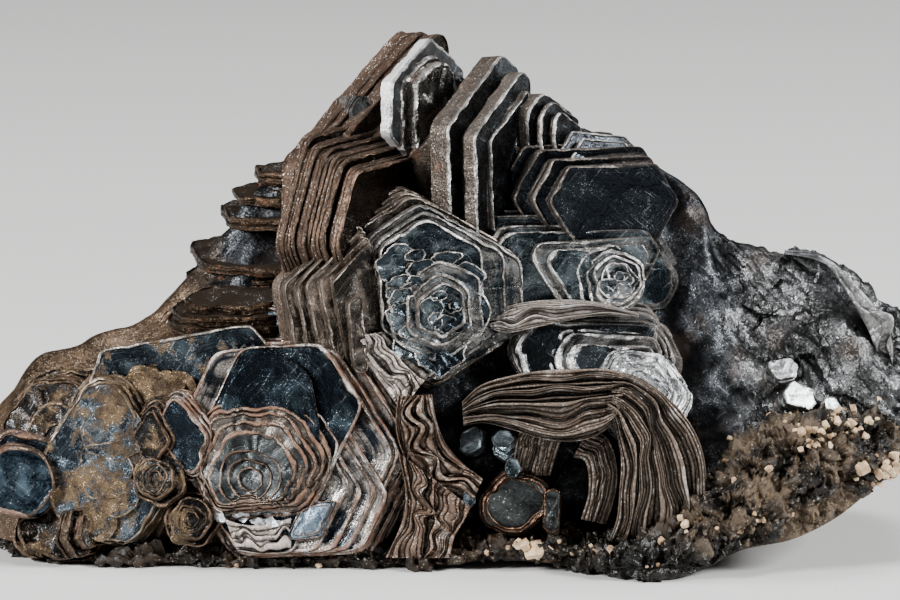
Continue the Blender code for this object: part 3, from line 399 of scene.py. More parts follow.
def new_finish(name):
    """An empty material, with its tree, its shader and its Object coordinates."""
    made = bpy.data.materials.new(name)
    made.use_nodes = True
    tree = made.node_tree
    return made, tree, tree.nodes["Principled BSDF"], add(tree, "ShaderNodeTexCoord").outputs["Object"]


def broken_hematite():
    """Where the mass has grown free, near-black and smooth with paler patches, scratches and a few grains
    painted near white as painted glints. Where it is broken, steel-grey, with grains and small flats painted
    bright as painted glints, in patches and most of all round the sparkling spot, and brown films in patches.
    At the left end it wears the same golden-brown skin as the plates there, with painted glints of its own."""
    made, tree, shader, spot = new_finish("broken hematite")
    marks = growth_parts(tree)
    patches = cloudy(tree, spot, 420.0, 5.0, 0.6)
    fine = cloudy(tree, spot, 5200.0, 3.0, 0.7)
    flats = glitter(tree, 2600.0, 0.7, 0.14)
    specks = glitter(tree, 15000.0, 0.9, 0.12)
    lines = use(tree, SCRATCHES, {"Amount": 0.6})["Lines"]
    lively = fade(tree, patches, 0.44, 0.62)
    grown = blend(tree, lively, (0.012, 0.013, 0.015), (0.040, 0.044, 0.049))
    grown = blend(tree, times(tree, lines, lively), grown, (0.42, 0.44, 0.46))
    # Painted glints: a few grains of the grown part painted near white.
    grown = blend(tree, times(tree, specks["Flash"], times(tree, lively, 0.5)), grown, (0.60, 0.62, 0.64))
    open_end = blend(tree, lively, (0.030, 0.031, 0.031), (0.140, 0.143, 0.146))
    open_end = blend(tree, times(tree, fade(tree, fine, 0.55, 0.8), 0.6), open_end, (0.25, 0.25, 0.25))
    # Painted glints: small flats and grains of the broken end painted pale, most of all round the sparkling
    # spot.
    open_end = blend(tree, times(tree, flats["Flash"], 0.35), open_end, (0.26, 0.27, 0.28))
    shining = times(tree, specks["Flash"], times(tree, lively, between(tree, marks[2], 0.25, 1.0)))
    open_end = blend(tree, shining, open_end, (0.95, 0.95, 0.96))
    colour = blend(tree, marks[0], grown, open_end)
    brown = fade(tree, cloudy(tree, spot, 260.0, 5.0), 0.56, 0.68)
    colour = blend(tree, times(tree, brown, 0.45), colour, (0.046, 0.029, 0.020))
    skin = blend(tree, fade(tree, patches, 0.36, 0.66), (0.024, 0.015, 0.009), (0.110, 0.070, 0.042))
    skin = blend(tree, times(tree, specks["Grain"], 0.4), skin, (0.17, 0.11, 0.066))
    # Painted glints on the golden-brown skin.
    skin = blend(tree, times(tree, specks["Flash"], 0.5), skin, (0.66, 0.52, 0.38))
    colour = blend(tree, marks[1], colour, skin)
    tree.links.new(colour, shader.inputs["Base Color"])
    tree.links.new(between(tree, brown, between(tree, marks[1], 0.9, 0.7), 0.6), shader.inputs["Metallic"])
    tree.links.new(between(tree, flats["Grain"], 0.24, 0.46), shader.inputs["Roughness"])
    calm = add(tree, "ShaderNodeNewGeometry").outputs["Normal"]
    normal = swing(tree, between(tree, marks[0], 0.75, 0.35), specks["Normal"], calm)
    height = calc(tree, "ADD", fine, times(tree, patches, 2.0))
    bump = add(tree, "ShaderNodeBump", {"Height": height, "Normal": normal, "Strength": 0.5,
                                        "Distance": 0.00008})
    tree.links.new(bump.outputs[0], shader.inputs["Normal"])
    return made


def mass_controls():
    """The mass's outline at each station: up its front, over the crest and down its back."""
    outlines = []
    for crest_seen, fronts, backs, foot in MASS_STATIONS:
        crest = seen(*crest_seen)
        levels = [foot + (crest[2] - foot) * share for share in MASS_LEVELS]
        broken = min(1.0, max(0.0, (crest[0] - ROUGHER_FROM) / ROUGHER_OVER))
        climb = [(crest[0], y, z) for y, z in zip(fronts, levels)]
        own, other = CREST_SHARES
        shoulder = (crest[0], own * fronts[-1] + other * crest[1], SHOULDER_LEVEL * crest[2])
        brow = (crest[0], own * backs[-1] + other * crest[1], BROW_LEVEL * crest[2])
        descent = [(crest[0], y, z) for y, z in zip(reversed(backs), reversed(levels))]
        least, more, size = FRONT_BULGES
        front = (least + more * broken, size)
        bulges = [None, front, front, front, None, BACK_BULGES, BACK_BULGES, BACK_BULGES, None]
        outline = [Vector(point) for point in (*climb, shoulder, crest, brow, *descent)]
        outlines.append([point + noise.noise_vector(point / bulge[1]) * bulge[0] if bulge else point
                         for point, bulge in zip(outline, bulges)])
    return np.array(outlines)


def crystal_mass():
    """Smooth curves through the controls along both ways, then pushed out and in along the normals by
    broken facets of three sizes and by noise, more on the broken end and on the back."""
    controls = mass_controls()
    crests = controls[:, 4, 0]
    turn = float(np.interp(BROKEN_FROM, crests, np.arange(len(crests))))
    last = len(controls) - 1
    stations = np.concatenate([np.linspace(0, turn, MASS_COLUMNS[0], endpoint=False),
                               np.linspace(turn, last, MASS_COLUMNS[1])])
    rings = np.concatenate([np.linspace(0, 4, MASS_RINGS[0], endpoint=False),
                            np.linspace(4, 8, MASS_RINGS[1])])
    grid = smooth_along(controls, stations)
    grid = smooth_along(np.swapaxes(grid, 0, 1), rings)
    grid = np.swapaxes(grid, 0, 1)
    grid = grid + 0.35 * mottled(grid, 2.6, 3) + 0.12 * mottled(grid, 1.1, 5)
    broken = np.clip((grid[..., 0] - BROKEN_FROM + 1.5 * mottled(grid, 2.0, 9)[..., 0]) / 3, 0, 1)
    broken = np.maximum(broken, np.clip((grid[..., 1] - 3) / 4, 0, 0.7))
    hollow = (grid - HOLLOW) / HOLLOW_REACH
    hollow = np.exp(-(hollow**2).sum(-1))
    depth = 0.45 * chipped(grid, 3.4, 11, 0.5) + 0.40 * chipped(grid, 1.7, 23, 0.6)
    depth += 0.22 * chipped(grid, 0.7, 31, 0.6)
    right, back, height = np.moveaxis(grid, -1, 0)
    lain = np.stack(((right + height) / 1.1, back / 3.0, (right - height) / 5.0), -1)
    ridges = 0.55 * (0.5 - np.abs(mottled(lain, 1.0, 13)[..., 0]))
    ridges += 0.20 * mottled(lain * 2.3, 1.0, 14)[..., 1]
    fine = 0.03 * mottled(grid, 0.35, 41)[..., 0] + 0.12 * chipped(grid, 0.25, 47, 0.8)
    calm = 1 - 0.7 * hollow
    push = (0.05 + 0.65 * broken) * calm * depth + broken * calm * ridges
    push = push + (0.06 + 0.5 * broken) * fine - 1.5 * hollow
    grid = grid + outward(grid) * push[..., None]
    marks = np.zeros(grid.shape[:2] + (4,))
    marks[..., 0] = broken
    marks[..., 1] = np.clip((-14.5 - grid[..., 0]) / 4 + 0.4 * mottled(grid, 1.6, 51)[..., 0], 0, 1)
    apart = [(grid[..., axis] - spot) / reach
             for axis, spot, reach in zip((0, 2), SPARKLING_SPOT, SPARKLING_REACH)]
    marks[..., 2] = np.exp(-apart[0] ** 2 - apart[1] ** 2) * (grid[..., 1] < 2)
    return shells(grid[None], marks[None])


make_piece("crystal_mass", [crystal_mass()], broken_hematite(), crease=28)

# ---------------------------------------------------------------------------------------------------------
# The tall book and the brown book. Piles of hexagonal plates seen half from the side, so that their stacked
# edges show as walls. The plates are hematite; the edges wear a sugary brown skin of iron oxide. They have
# grown out of the crest of the mass.
# ---------------------------------------------------------------------------------------------------------
LAP = 0.05  # how far a sheet reaches into the one behind it
TOP_SHARES = (0.86, 0.66, 0.42, 0.18, 0.05)  # rings across the topmost face, as shares of its reach


def facing(turned, tipped):
    """A plate's own right, own up and normal, turned to the right and tipped up by these degrees."""
    turned, tipped = math.radians(turned), math.radians(tipped)
    normal = np.array((math.sin(turned) * math.cos(tipped), -math.cos(turned) * math.cos(tipped),
                       math.sin(tipped)))
    own_up = np.array((0, 0, 1)) - normal * normal[2]
    own_up /= np.linalg.norm(own_up)
    return np.cross(own_up, normal), own_up, normal


def plate_reach(turn, spin, sides, corner):
    """How far a plate reaches at each turn round its middle: the softened least of side / cos(turn - the
    side's direction) over its six sides; a higher corner number gives sharper corners."""
    directions = np.radians(spin + 60 * np.arange(6))
    towards = np.clip(np.cos(turn[..., None] - directions), 1e-3, None)
    return ((towards / np.maximum(sides, 0.05)) ** corner).sum(-1) ** (-1 / corner)


def even_turns(spin, sides, columns):
    """Turns round a plate that divide its outline into pieces of equal length."""
    turn = np.linspace(0, 2 * np.pi, 1441)
    reach = plate_reach(turn, spin, np.array(sides, float), 30)
    outline = np.stack((reach * np.cos(turn), reach * np.sin(turn)), -1)
    length = np.concatenate([[0], np.cumsum(np.linalg.norm(np.diff(outline, axis=0), axis=1))])
    return np.interp(np.linspace(0, length[-1], columns, endpoint=False), length, turn)


def ripple(turn, drift, random):
    """Uneven growth of an outline: six cosines of 2 to 7 waves round it, which drift from sheet to sheet."""
    total = 0
    for waves in range(2, 8):
        phase = random.uniform(0, 2 * np.pi) + np.cumsum(random.normal(0, 0.25 * drift, turn.shape[0]))
        total = total + np.cos(waves * turn + phase[:, None]) * random.uniform(0.4, 1.0) / waves
    return total


SHEET_RINGS = 7  # the rings that each sheet of a pile gives
GROOVED_DEPTH = 1.0  # how far below a pile's lowest plate its sheets still have their grooves and rims


def plate_pile(place, face, spin, sides, base, plates, seed, columns=200, sheet=0.28, ragged=0.06, wave=0.0,
               rim=0.22, lip=0.08, corner=34, nick=0.10, lumpy=0.0, buried=None, bowl=()):
    """A pile of plates as one surface. Each plate is (level of its face, growth, right, up), where the growth
    is added to the sides, or is six side distances of its own. The plates are split into thin sheets of
    uneven growth. Each sheet gives seven rings: a groove, two rings of its wall, three over a rounded rim
    where the face is bare, and one where the next sheet stands on it; then rings cross the topmost face to
    its middle. Sheets that lie deep in the cluster keep one ring of their wall. The rim is lost towards the
    buried direction. A bowl of (radius, level) steps the middle down or up in rounded terraces."""
    random = np.random.default_rng(seed)
    middle, (own_right, own_up, normal) = seen(*place), facing(*face)
    rows, outlines, below = [], [], base - LAP
    for top, growth, right, up in plates:
        count = max(1, round((top - below) / sheet))
        levels = np.linspace(below, top, count + 1)
        levels[1:-1] += random.normal(0, 0.14 * sheet, count - 1)
        rows += [(low, high, right, up, level < count - 1) for level, (low, high) in
                 enumerate(zip(levels, levels[1:]))]
        outlines += [growth if isinstance(growth, tuple) else np.array(sides) + growth] * count
        below = top
    low, high, right, up, free = np.array(rows, float).T
    count = len(rows)
    turn = np.broadcast_to(even_turns(spin, sides, columns), (count, columns))
    uneven = random.normal(0, ragged, (count, 6)) * (0.25 + 0.75 * free[:, None])
    outlines = np.array(outlines, float) + uneven
    outlines -= np.abs(random.normal(0, ragged, (count, 1))) * free[:, None]
    reach = plate_reach(turn, spin, outlines[:, None, :], corner)
    reach = reach * (1 + wave * ripple(turn, 1.0, random))
    along_edge = np.stack((turn * reach, np.broadcast_to(np.arange(count)[:, None] * 1.7, turn.shape),
                           np.full(turn.shape, seed * 3.1)), -1)
    reach = reach - nick * np.clip(mottled(along_edge, 0.8, seed)[..., 0] - 0.25, 0, 1)
    reach = reach + 0.03 * mottled(along_edge, 0.3, seed + 1)[..., 0]
    following = np.roll(reach, -1, 0) + np.cos(turn) * (np.roll(right, -1) - right)[:, None]
    following += np.sin(turn) * (np.roll(up, -1) - up)[:, None]
    following[-1] = 0
    uneven = mottled(along_edge, 1.1, seed + 2)
    rim = rim * (1 + 0.6 * uneven[..., 0])
    lip = lip * np.clip(0.85 + 1.1 * uneven[..., 1], 0.1, 1.7)
    bare = np.clip((reach - following) / rim, 0, 1)
    still = 0 * reach
    shown = still + 1 if buried is None else np.clip(0.5 - 1.3 * np.cos(turn - math.radians(buried)), 0, 1)
    stands = np.maximum(np.clip(reach - following - 0.04, 0, None), rim * bare)
    stands[-1] = rim[-1]
    low, high, thick = low[:, None], high[:, None], (high - low)[:, None]
    insets = np.stack((still + min(0.12, 0.45 * sheet), still, still, 0.12 * rim * bare, 0.55 * rim * bare,
                       rim * bare, stands), 1)
    levels = np.stack((low + still, low + np.maximum(0.22 * thick, thick - 0.24) + still,
                       high - 0.22 * np.minimum(thick, 0.4) + still, high + 0.55 * lip * bare * shown,
                       high + lip * bare * shown, high + still, high + still), 1)
    radii = np.maximum(reach[:, None, :] - insets, 0.03)
    tint = np.broadcast_to(random.uniform(0, 1, count)[:, None, None], radii.shape)
    edge = np.stack((still, still + 0.1, 0.75 * shown, shown, (0.3 + 0.7 * bare) * shown, still, still), 1)
    wall = np.stack((still + 1, still + 1, still + 1, 1 - 0.3 * bare, 1 - 0.8 * bare, 1 - bare, 1 - bare), 1)
    height = np.clip((levels - base) / max(plates[-1][0] - base, 0.1), 0, 1) ** 3
    run = np.stack((levels - insets, (turn * reach.mean())[:, None] + 0 * levels, 0 * levels + seed), -1)
    rings = np.stack((radii, levels, edge, wall, tint, height), -1)
    rings = np.concatenate([rings, run], -1)
    rooted = high[:, 0] < plates[0][0] - GROOVED_DEPTH
    kept = ~rooted[:, None] | (np.arange(SHEET_RINGS) == 1)
    rings = rings[kept]
    centres = np.repeat(np.stack((right, up), -1), SHEET_RINGS, 0)[kept.ravel()]
    inner, level = radii[-1, -1], high[-1, 0]
    top = [np.stack((inner * share, still[0] + level, still[0], still[0]), -1) for share in TOP_SHARES]
    if bowl:
        top, wobble = [], 1 + 3.0 * wave * ripple(np.broadcast_to(turn[0], (len(bowl), columns)), 2.5, random)
        for (radius, step), uneven in zip(bowl, wobble):
            ring = np.minimum(radius * uneven, inner - 0.06)
            for off, beside, mark in ((0.10, level, 0.1), (0.03, level + lip[-1], 1.0),
                                      (-0.03, level + 0.6 * lip[-1], 0.9), (-0.09, step, 0.1)):
                terrace = np.maximum(ring + off, 0.02)
                top.append(np.stack((terrace, still[0] + beside, still[0] + mark, still[0]), -1))
            inner, level = ring - 0.12, step
        top += [np.stack((np.maximum(inner * share, 0.01), still[0] + level, still[0], still[0]), -1)
                for share in (0.6, 0.1)]
    top = np.stack(top)
    across = plates[-1][0] - reach[-1] + top[..., 0]
    top = np.stack((*np.moveaxis(top, -1, 0), 0 * across + tint[-1, 0, 0], 0 * across + 1, across,
                    0 * across + turn[0] * reach.mean(), 0 * across + seed), -1)
    rings = np.concatenate([rings, top])
    centres = np.concatenate([centres, np.repeat(centres[-1:], len(top), 0)])
    across = centres[:, None, 0] + rings[..., 0] * np.cos(turn[0])
    upward = centres[:, None, 1] + rings[..., 0] * np.sin(turn[0])
    grid = middle + across[..., None] * own_right + upward[..., None] * own_up + rings[..., 1, None] * normal
    if lumpy:
        grid = grid + lumpy * (mottled(grid, 0.9, seed + 3) + 0.5 * mottled(grid, 0.35, seed + 4))
    return shells(grid[None], rings[None, ..., 2:])


def plate_finish(name, face, rim, wall, dark_wall, haze_and_sheen=(0.10, 0.125, 0.145), face_rough=0.20,
                 rim_rough=0.34, wall_rough=0.5, rim_metal=0.9, wall_metal=0.5, dust=0.0, rust=0.0,
                 scratched=0.25, grains=13000.0, sugary=0.4, hazy_sheen=0.5, sunk=0.2, striped=0.6, banded=1.0,
                 strip_sheen=0.0, strip=(0.34, 0.31, 0.28), rim_too=None, face_metal=1.0):
    """Plates of hematite: mirror-dark faces, rougher in patches where they are painted paler as a painted
    sheen, with scratches, and pinprick grains painted pale as painted glints; rims in a paler colour of their
    own, painted brighter as a painted highlight, in patches, and painted duller the deeper they lie as
    painted shade, that may change to a second colour; sugary walls between the two wall colours, with painted
    glints; bands of painted sheen where a lower plate looks out; rust in patches along the edges; and dust,
    with painted glints."""
    made, tree, shader, spot = new_finish(name)
    marks = use(tree, GROWTH_MARKS, {"Unevenness": 0.5})
    stripes = use(tree, STRIPES)
    fine = glitter(tree, 1.2 * grains, 0.35, 0.06)
    sugar_glints = glitter(tree, 1.3 * grains, 0.9, 0.06)
    lines = use(tree, SCRATCHES, {"Amount": scratched})["Lines"]
    clouds = cloudy(tree, spot, 430.0, 6.0, 0.62, distortion=0.6)
    speckle = cloudy(tree, spot, 7000.0, 2.0, 0.7)
    # Painted sheen: the faces are painted paler in patches that stand in for reflections, and are rougher
    # there; the growth stripes on the faces take the same paler colour.
    misted_sheen = times(tree, fade(tree, clouds, 0.46, 0.68), hazy_sheen)
    faces = blend(tree, misted_sheen, face, haze_and_sheen)
    rings = times(tree, fade(tree, stripes["Fine"], 0.56, 0.66), striped)
    faces = blend(tree, times(tree, rings, fade(tree, stripes["Broad"], 0.42, 0.60)), faces, haze_and_sheen)
    # Painted sheen on the bands where a lower plate looks out.
    if strip_sheen:
        lower = times(tree, fade(tree, marks["Level"], 0.99, 0.93), fade(tree, stripes["Broad"], 0.36, 0.56))
        lower = times(tree, lower, fade(tree, clouds, 0.36, 0.56))
        faces = blend(tree, times(tree, lower, strip_sheen), faces, strip)
    # Painted glints: pinprick grains painted pale on the faces.
    face_glints = times(tree, fine["Flash"], times(tree, fade(tree, clouds, 0.46, 0.64), min(1.0, 1.4 * hazy_sheen)))
    faces = blend(tree, face_glints, faces, (0.62, 0.66, 0.70))
    faces = blend(tree, times(tree, lines, fade(tree, clouds, 0.40, 0.58)), faces, (0.50, 0.53, 0.56))
    walls = blend(tree, marks["Tint"], dark_wall, wall)
    walls = blend(tree, times(tree, fade(tree, stripes["Fine"], 0.62, 0.36), banded), walls,
                  tuple(0.3 * part for part in dark_wall))
    walls = blend(tree, times(tree, fade(tree, speckle, 0.45, 0.75), 0.6), walls,
                  tuple(min(1.0, 1.8 * part) for part in wall))
    # Painted glints on the sugary walls; sugary sets how strong they are.
    walls = blend(tree, times(tree, sugar_glints["Flash"], sugary), walls, (0.72, 0.66, 0.60))
    # Painted highlight: the rims are painted bright in patches, and painted duller the lower they lie in the
    # pile, a painted shade; sunk sets how dull the lowest rims are.
    patchy = cloudy(tree, spot, 900.0, 4.0, 0.65)
    rim_highlight = times(tree, fade(tree, patchy, 0.38, 0.62), between(tree, marks["Level"], sunk, 1.0))
    rim_highlight = times(tree, rim_highlight, between(tree, fade(tree, stripes["Fine"], 0.38, 0.56), 0.25, 1.0))
    bright = rim
    if rim_too:
        turns = cloudy(tree, spot, 330.0, 3.0, 0.6)
        bright = blend(tree, fade(tree, turns, 0.44, 0.58), rim, rim_too)
    rims = blend(tree, rim_highlight, tuple(0.16 * part for part in rim), bright)
    colour = blend(tree, marks["Wall"], faces, walls)
    edges = times(tree, marks["Edge"], between(tree, marks["Wall"], 1.0, 0.75))
    colour = blend(tree, edges, colour, rims)
    metal = between(tree, marks["Edge"], between(tree, marks["Wall"], face_metal, wall_metal), rim_metal)
    face_shine = between(tree, misted_sheen, face_rough, 0.42)
    rough = between(tree, marks["Edge"], between(tree, marks["Wall"], face_shine, wall_rough), rim_rough)
    rough = between(tree, times(tree, fine["Grain"], 0.25), rough, 0.6)
    if rust:
        film = cloudy(tree, spot, 700.0, 5.0, 0.65)
        film = times(tree, fade(tree, film, 0.62 - 0.3 * rust, 0.78 - 0.3 * rust),
                     calc(tree, "MAXIMUM", marks["Edge"], marks["Wall"]))
        colour = blend(tree, times(tree, film, 0.8), colour, (0.165, 0.080, 0.046))
        metal = between(tree, film, metal, 0.35)
        rough = between(tree, film, rough, 0.5)
    if dust:
        settled = cloudy(tree, spot, 480.0, 7.0, 0.72)
        settled = fade(tree, settled, 0.66 - 0.42 * dust, 0.76 - 0.42 * dust)
        crumbs = glitter(tree, 21000.0, 1.2, 0.05)
        drift = fade(tree, cloudy(tree, spot, 900.0, 4.0), 0.38, 0.62)
        powder = blend(tree, drift, (0.018, 0.011, 0.007), (0.105, 0.069, 0.038))
        powder = blend(tree, times(tree, crumbs["Grain"], 0.4), powder, (0.22, 0.15, 0.085))
        # Painted glints in the dust.
        powder = blend(tree, times(tree, crumbs["Flash"], drift), powder, (0.85, 0.70, 0.48))
        colour = blend(tree, settled, colour, powder)
        metal = between(tree, settled, metal, 0.75)
        rough = between(tree, settled, rough, 0.5)
        sparkle = swing(tree, settled, sugar_glints["Normal"], crumbs["Normal"])
    else:
        sparkle = sugar_glints["Normal"]
    rough_part = calc(tree, "MAXIMUM", marks["Wall"], marks["Edge"])
    if dust:
        rough_part = calc(tree, "MAXIMUM", rough_part, settled)
    normal = swing(tree, rough_part, fine["Normal"], sparkle)
    calm = add(tree, "ShaderNodeNewGeometry").outputs["Normal"]
    calm_share = between(tree, rough_part, 0.55, 0.35)
    normal = swing(tree, calm_share, normal, calm)
    height = calc(tree, "ADD", times(tree, speckle, rough_part), times(tree, clouds, 2.5))
    height = calc(tree, "ADD", height, times(tree, stripes["Fine"], between(tree, rough_part, 0.35, 1.1)))
    bump = add(tree, "ShaderNodeBump", {"Height": height, "Normal": normal, "Strength": 0.6,
                                        "Distance": 0.00008})
    tree.links.new(colour, shader.inputs["Base Color"])
    tree.links.new(metal, shader.inputs["Metallic"])
    tree.links.new(rough, shader.inputs["Roughness"])
    tree.links.new(bump.outputs[0], shader.inputs["Normal"])
    return made


BROWN_EDGED = plate_finish(
    "brown-edged plates", (0.018, 0.013, 0.010), (0.24, 0.155, 0.108), (0.105, 0.066, 0.045),
    (0.060, 0.038, 0.026), rust=0.1, wall_metal=0.75, hazy_sheen=0.3, sugary=0.9, striped=0.2, banded=0.6,
    haze_and_sheen=(0.030, 0.021, 0.015))
BROWN_SUGAR = plate_finish(
    "brown sugary plates", (0.022, 0.017, 0.013), (0.19, 0.118, 0.078), (0.105, 0.066, 0.045),
    (0.080, 0.050, 0.034), rust=0.1, wall_metal=0.75, hazy_sheen=0.3, sugary=1.0, banded=0.45, grains=11000.0,
    haze_and_sheen=(0.048, 0.034, 0.024))
make_piece("tall_book", [plate_pile(
    (-6.4, 19.6, 4.2), (58, 2), -4, (8, 18.6, 11.8, 7.8, 13, 12), -1.2,
    ((1.0, 0, 0, 0), (1.3, -0.3, 0, 0), (2.4, -0.1, 0, 0), (3.2, -1.5, 0, 0)),
    seed=1, columns=420, sheet=0.8, ragged=0.04, rim=0.3, lumpy=0.07)], BROWN_SUGAR)
make_piece("brown_book", [plate_pile(
    (-3.6, 23.3, -1.4), (57, 2), 31, (6.2, 4.95, 6.5, 6.0, 5.6, 7.0), -4.2,
    ((-3.7, (9.6, 7.1, 7.4, 6.9, 6.5, 7.9), 0, 0), (-3.0, (9.3, 6.55, 7.1, 6.6, 6.2, 7.6), 0, 0),
     (-2.3, (9.1, 6.3, 7.0, 6.5, 6.1, 7.5), 0, 0), (-1.6, (8.8, 5.8, 6.8, 6.3, 5.9, 7.3), 0, 0.1),
     (-1.0, (8.6, 5.65, 6.7, 6.2, 5.8, 7.2), 0, 0), (-0.6, (8.0, 5.15, 6.2, 5.7, 5.3, 6.7), 0, 0),
     (0, (8.2, 4.95, 6.4, 6.0, 5.6, 7.0), 0, 0)),
    seed=2, columns=280, sheet=0.24, ragged=0.09, rim=0.3, corner=20)], BROWN_EDGED)

# ---------------------------------------------------------------------------------------------------------
# The chevrons along the crest. Thick plates seen nearly edge on: walls that bend once at a corner, painted
# near white on the white-lit chevron as a painted highlight and darker on the rest, with a thin line painted
# bright as a painted highlight where the wall meets the dark face. They are the same growth as the tall book.
# ---------------------------------------------------------------------------------------------------------
# Walls and rims painted near white, a painted highlight where the chevron's sides catch the light.
LIT_WHITE_WALLS = plate_finish(
    "plates with walls painted white where lit", (0.05, 0.05, 0.052), (0.96, 0.96, 0.96), (0.95, 0.95, 0.95), (0.80, 0.80, 0.80),
    wall_metal=0.8, face_rough=0.4, banded=0.3)
# Rims painted near white, a painted highlight; the walls are satin brown.
SATIN_WALLS_LIT_RIMS = plate_finish(
    "satin-walled plates with painted bright rims", (0.012, 0.013, 0.015), (0.95, 0.93, 0.90), (0.125, 0.103, 0.086),
    (0.085, 0.069, 0.057), wall_metal=0.85, rust=0.1, sunk=0.8, sugary=0.6, wall_rough=0.40, hazy_sheen=0.25,
    banded=0.4)
# Faces with a strong painted sheen, and rims painted pale as a painted highlight.
BROKEN_SHEEN = plate_finish(
    "broken plates with painted sheen", (0.055, 0.053, 0.050), (0.62, 0.60, 0.57), (0.32, 0.30, 0.28),
    (0.12, 0.105, 0.092), wall_metal=0.8, rust=0.1, sunk=0.4, sugary=0.9, hazy_sheen=0.9, haze_and_sheen=(0.20, 0.19, 0.175),
    grains=9000.0)
GREY_SPECKLED = plate_finish(
    "grey speckled block", (0.075, 0.080, 0.080), (0.30, 0.29, 0.28), (0.13, 0.12, 0.11), (0.07, 0.06, 0.055),
    haze_and_sheen=(0.22, 0.24, 0.24), hazy_sheen=0.9, grains=10000.0)
make_piece("white_chevron", [plate_pile(
    (-1.3, 31.7, 3.8), (58, 2), -4, (4, 4.2, 4.15, 4.85, 3.9, 5), -0.85,
    ((0, 0, 0, 0), (0.3, -2.2, 0.3, -0.2)), seed=3, columns=220, sheet=1.2, ragged=0.04, rim=0.22, lip=0.04,
    lumpy=0.09)], LIT_WHITE_WALLS)
make_piece("broken_step", [plate_pile(
    (-0.9, 31.5, 2.3), (50, 6), -6, (2.2, 3.4, 3.0, 2.6, 3.5, 3.2), -2.0,
    ((-0.7, (2.3, 3.7, 3.3, 2.9, 3.7, 3.2), 0, 0), (0, (2.0, 3.3, 2.9, 2.2, 3.2, 3.2), 0, 0)),
    seed=33, columns=200, sheet=0.7, ragged=0.14, wave=0.03, rim=0.3, corner=12, nick=0.5, lumpy=0.14)],
    BROKEN_SHEEN)
make_piece("grey_block", [plate_pile(
    (-5.8, 31.5, 2.6), (30, 10), 25, (0.9, 1.1, 0.8, 0.9, 1.1, 0.8), -3.0, ((-0.5, 0.1, 0, 0), (0, 0, 0, 0)),
    seed=34, columns=90, sheet=0.6, rim=0.14, corner=12, lumpy=0.12)], GREY_SPECKLED)
make_piece("stepped_book", [plate_pile(
    (2.6, 29.2, 1.6), (58, 2), 0, (4, 6.2, 4.2, 5, 8, 6), -1.5,
    ((0, 0, 0, 0), (0.5, -1.5, 0, 0), (1.5, -0.9, 0, 0), (1.8, -2.0, 0.3, 0)),
    seed=4, columns=260, sheet=1.6, ragged=0.03, rim=0.16, lip=0.04, lumpy=0.05)], SATIN_WALLS_LIT_RIMS)
make_piece("small_chevrons", [plate_pile(
    (7.0, 30.2, 3.4), (54, 2), 0, (2.2, 1.9, 3.1, 3.1, 3, 3), -1.8,
    ((0, 0, 0, 0), (0.3, -0.9, 0, 0), (0.75, -0.5, 0, 0), (1.0, -1.3, 0, 0), (1.4, -1.1, 0, 0)),
    seed=5, columns=160, sheet=1.0, ragged=0.03, rim=0.14, lip=0.04, corner=12, lumpy=0.05)], SATIN_WALLS_LIT_RIMS)
make_piece("crest_step", [plate_pile(
    (9.8, 28.4, 0.8), (26, 26), 20, (2.6, 1.4, 1.6, 1.8, 2.4, 3.0), -4.0, ((-0.7, 0.7, 0, 0), (0, 0, 0, 0)),
    seed=6, columns=110, sheet=0.5, ragged=0.08)], SATIN_WALLS_LIT_RIMS)

# ---------------------------------------------------------------------------------------------------------
# The middle rose. An iron rose: a dozen plates, each a little smaller than the one behind, with wavy rims
# painted silver as a painted highlight, and petals of thin plate that lean a few degrees and sink into one
# another at its heart.
# ---------------------------------------------------------------------------------------------------------
# The rings of a petal: shares of its reach, and levels as shares of its thickness.
PETAL_RINGS = ((0.05, -1.0), (0.985, -1.0), (1.0, -0.6), (1.0, -0.1), (0.975, 0.35), (0.93, 0.0), (0.6, -0.1),
               (0.25, -0.15), (0.04, -0.15))
PETAL_EDGES = (0.0, 0.3, 0.6, 1.0, 1.0, 0.1, 0.0, 0.0, 0.0)


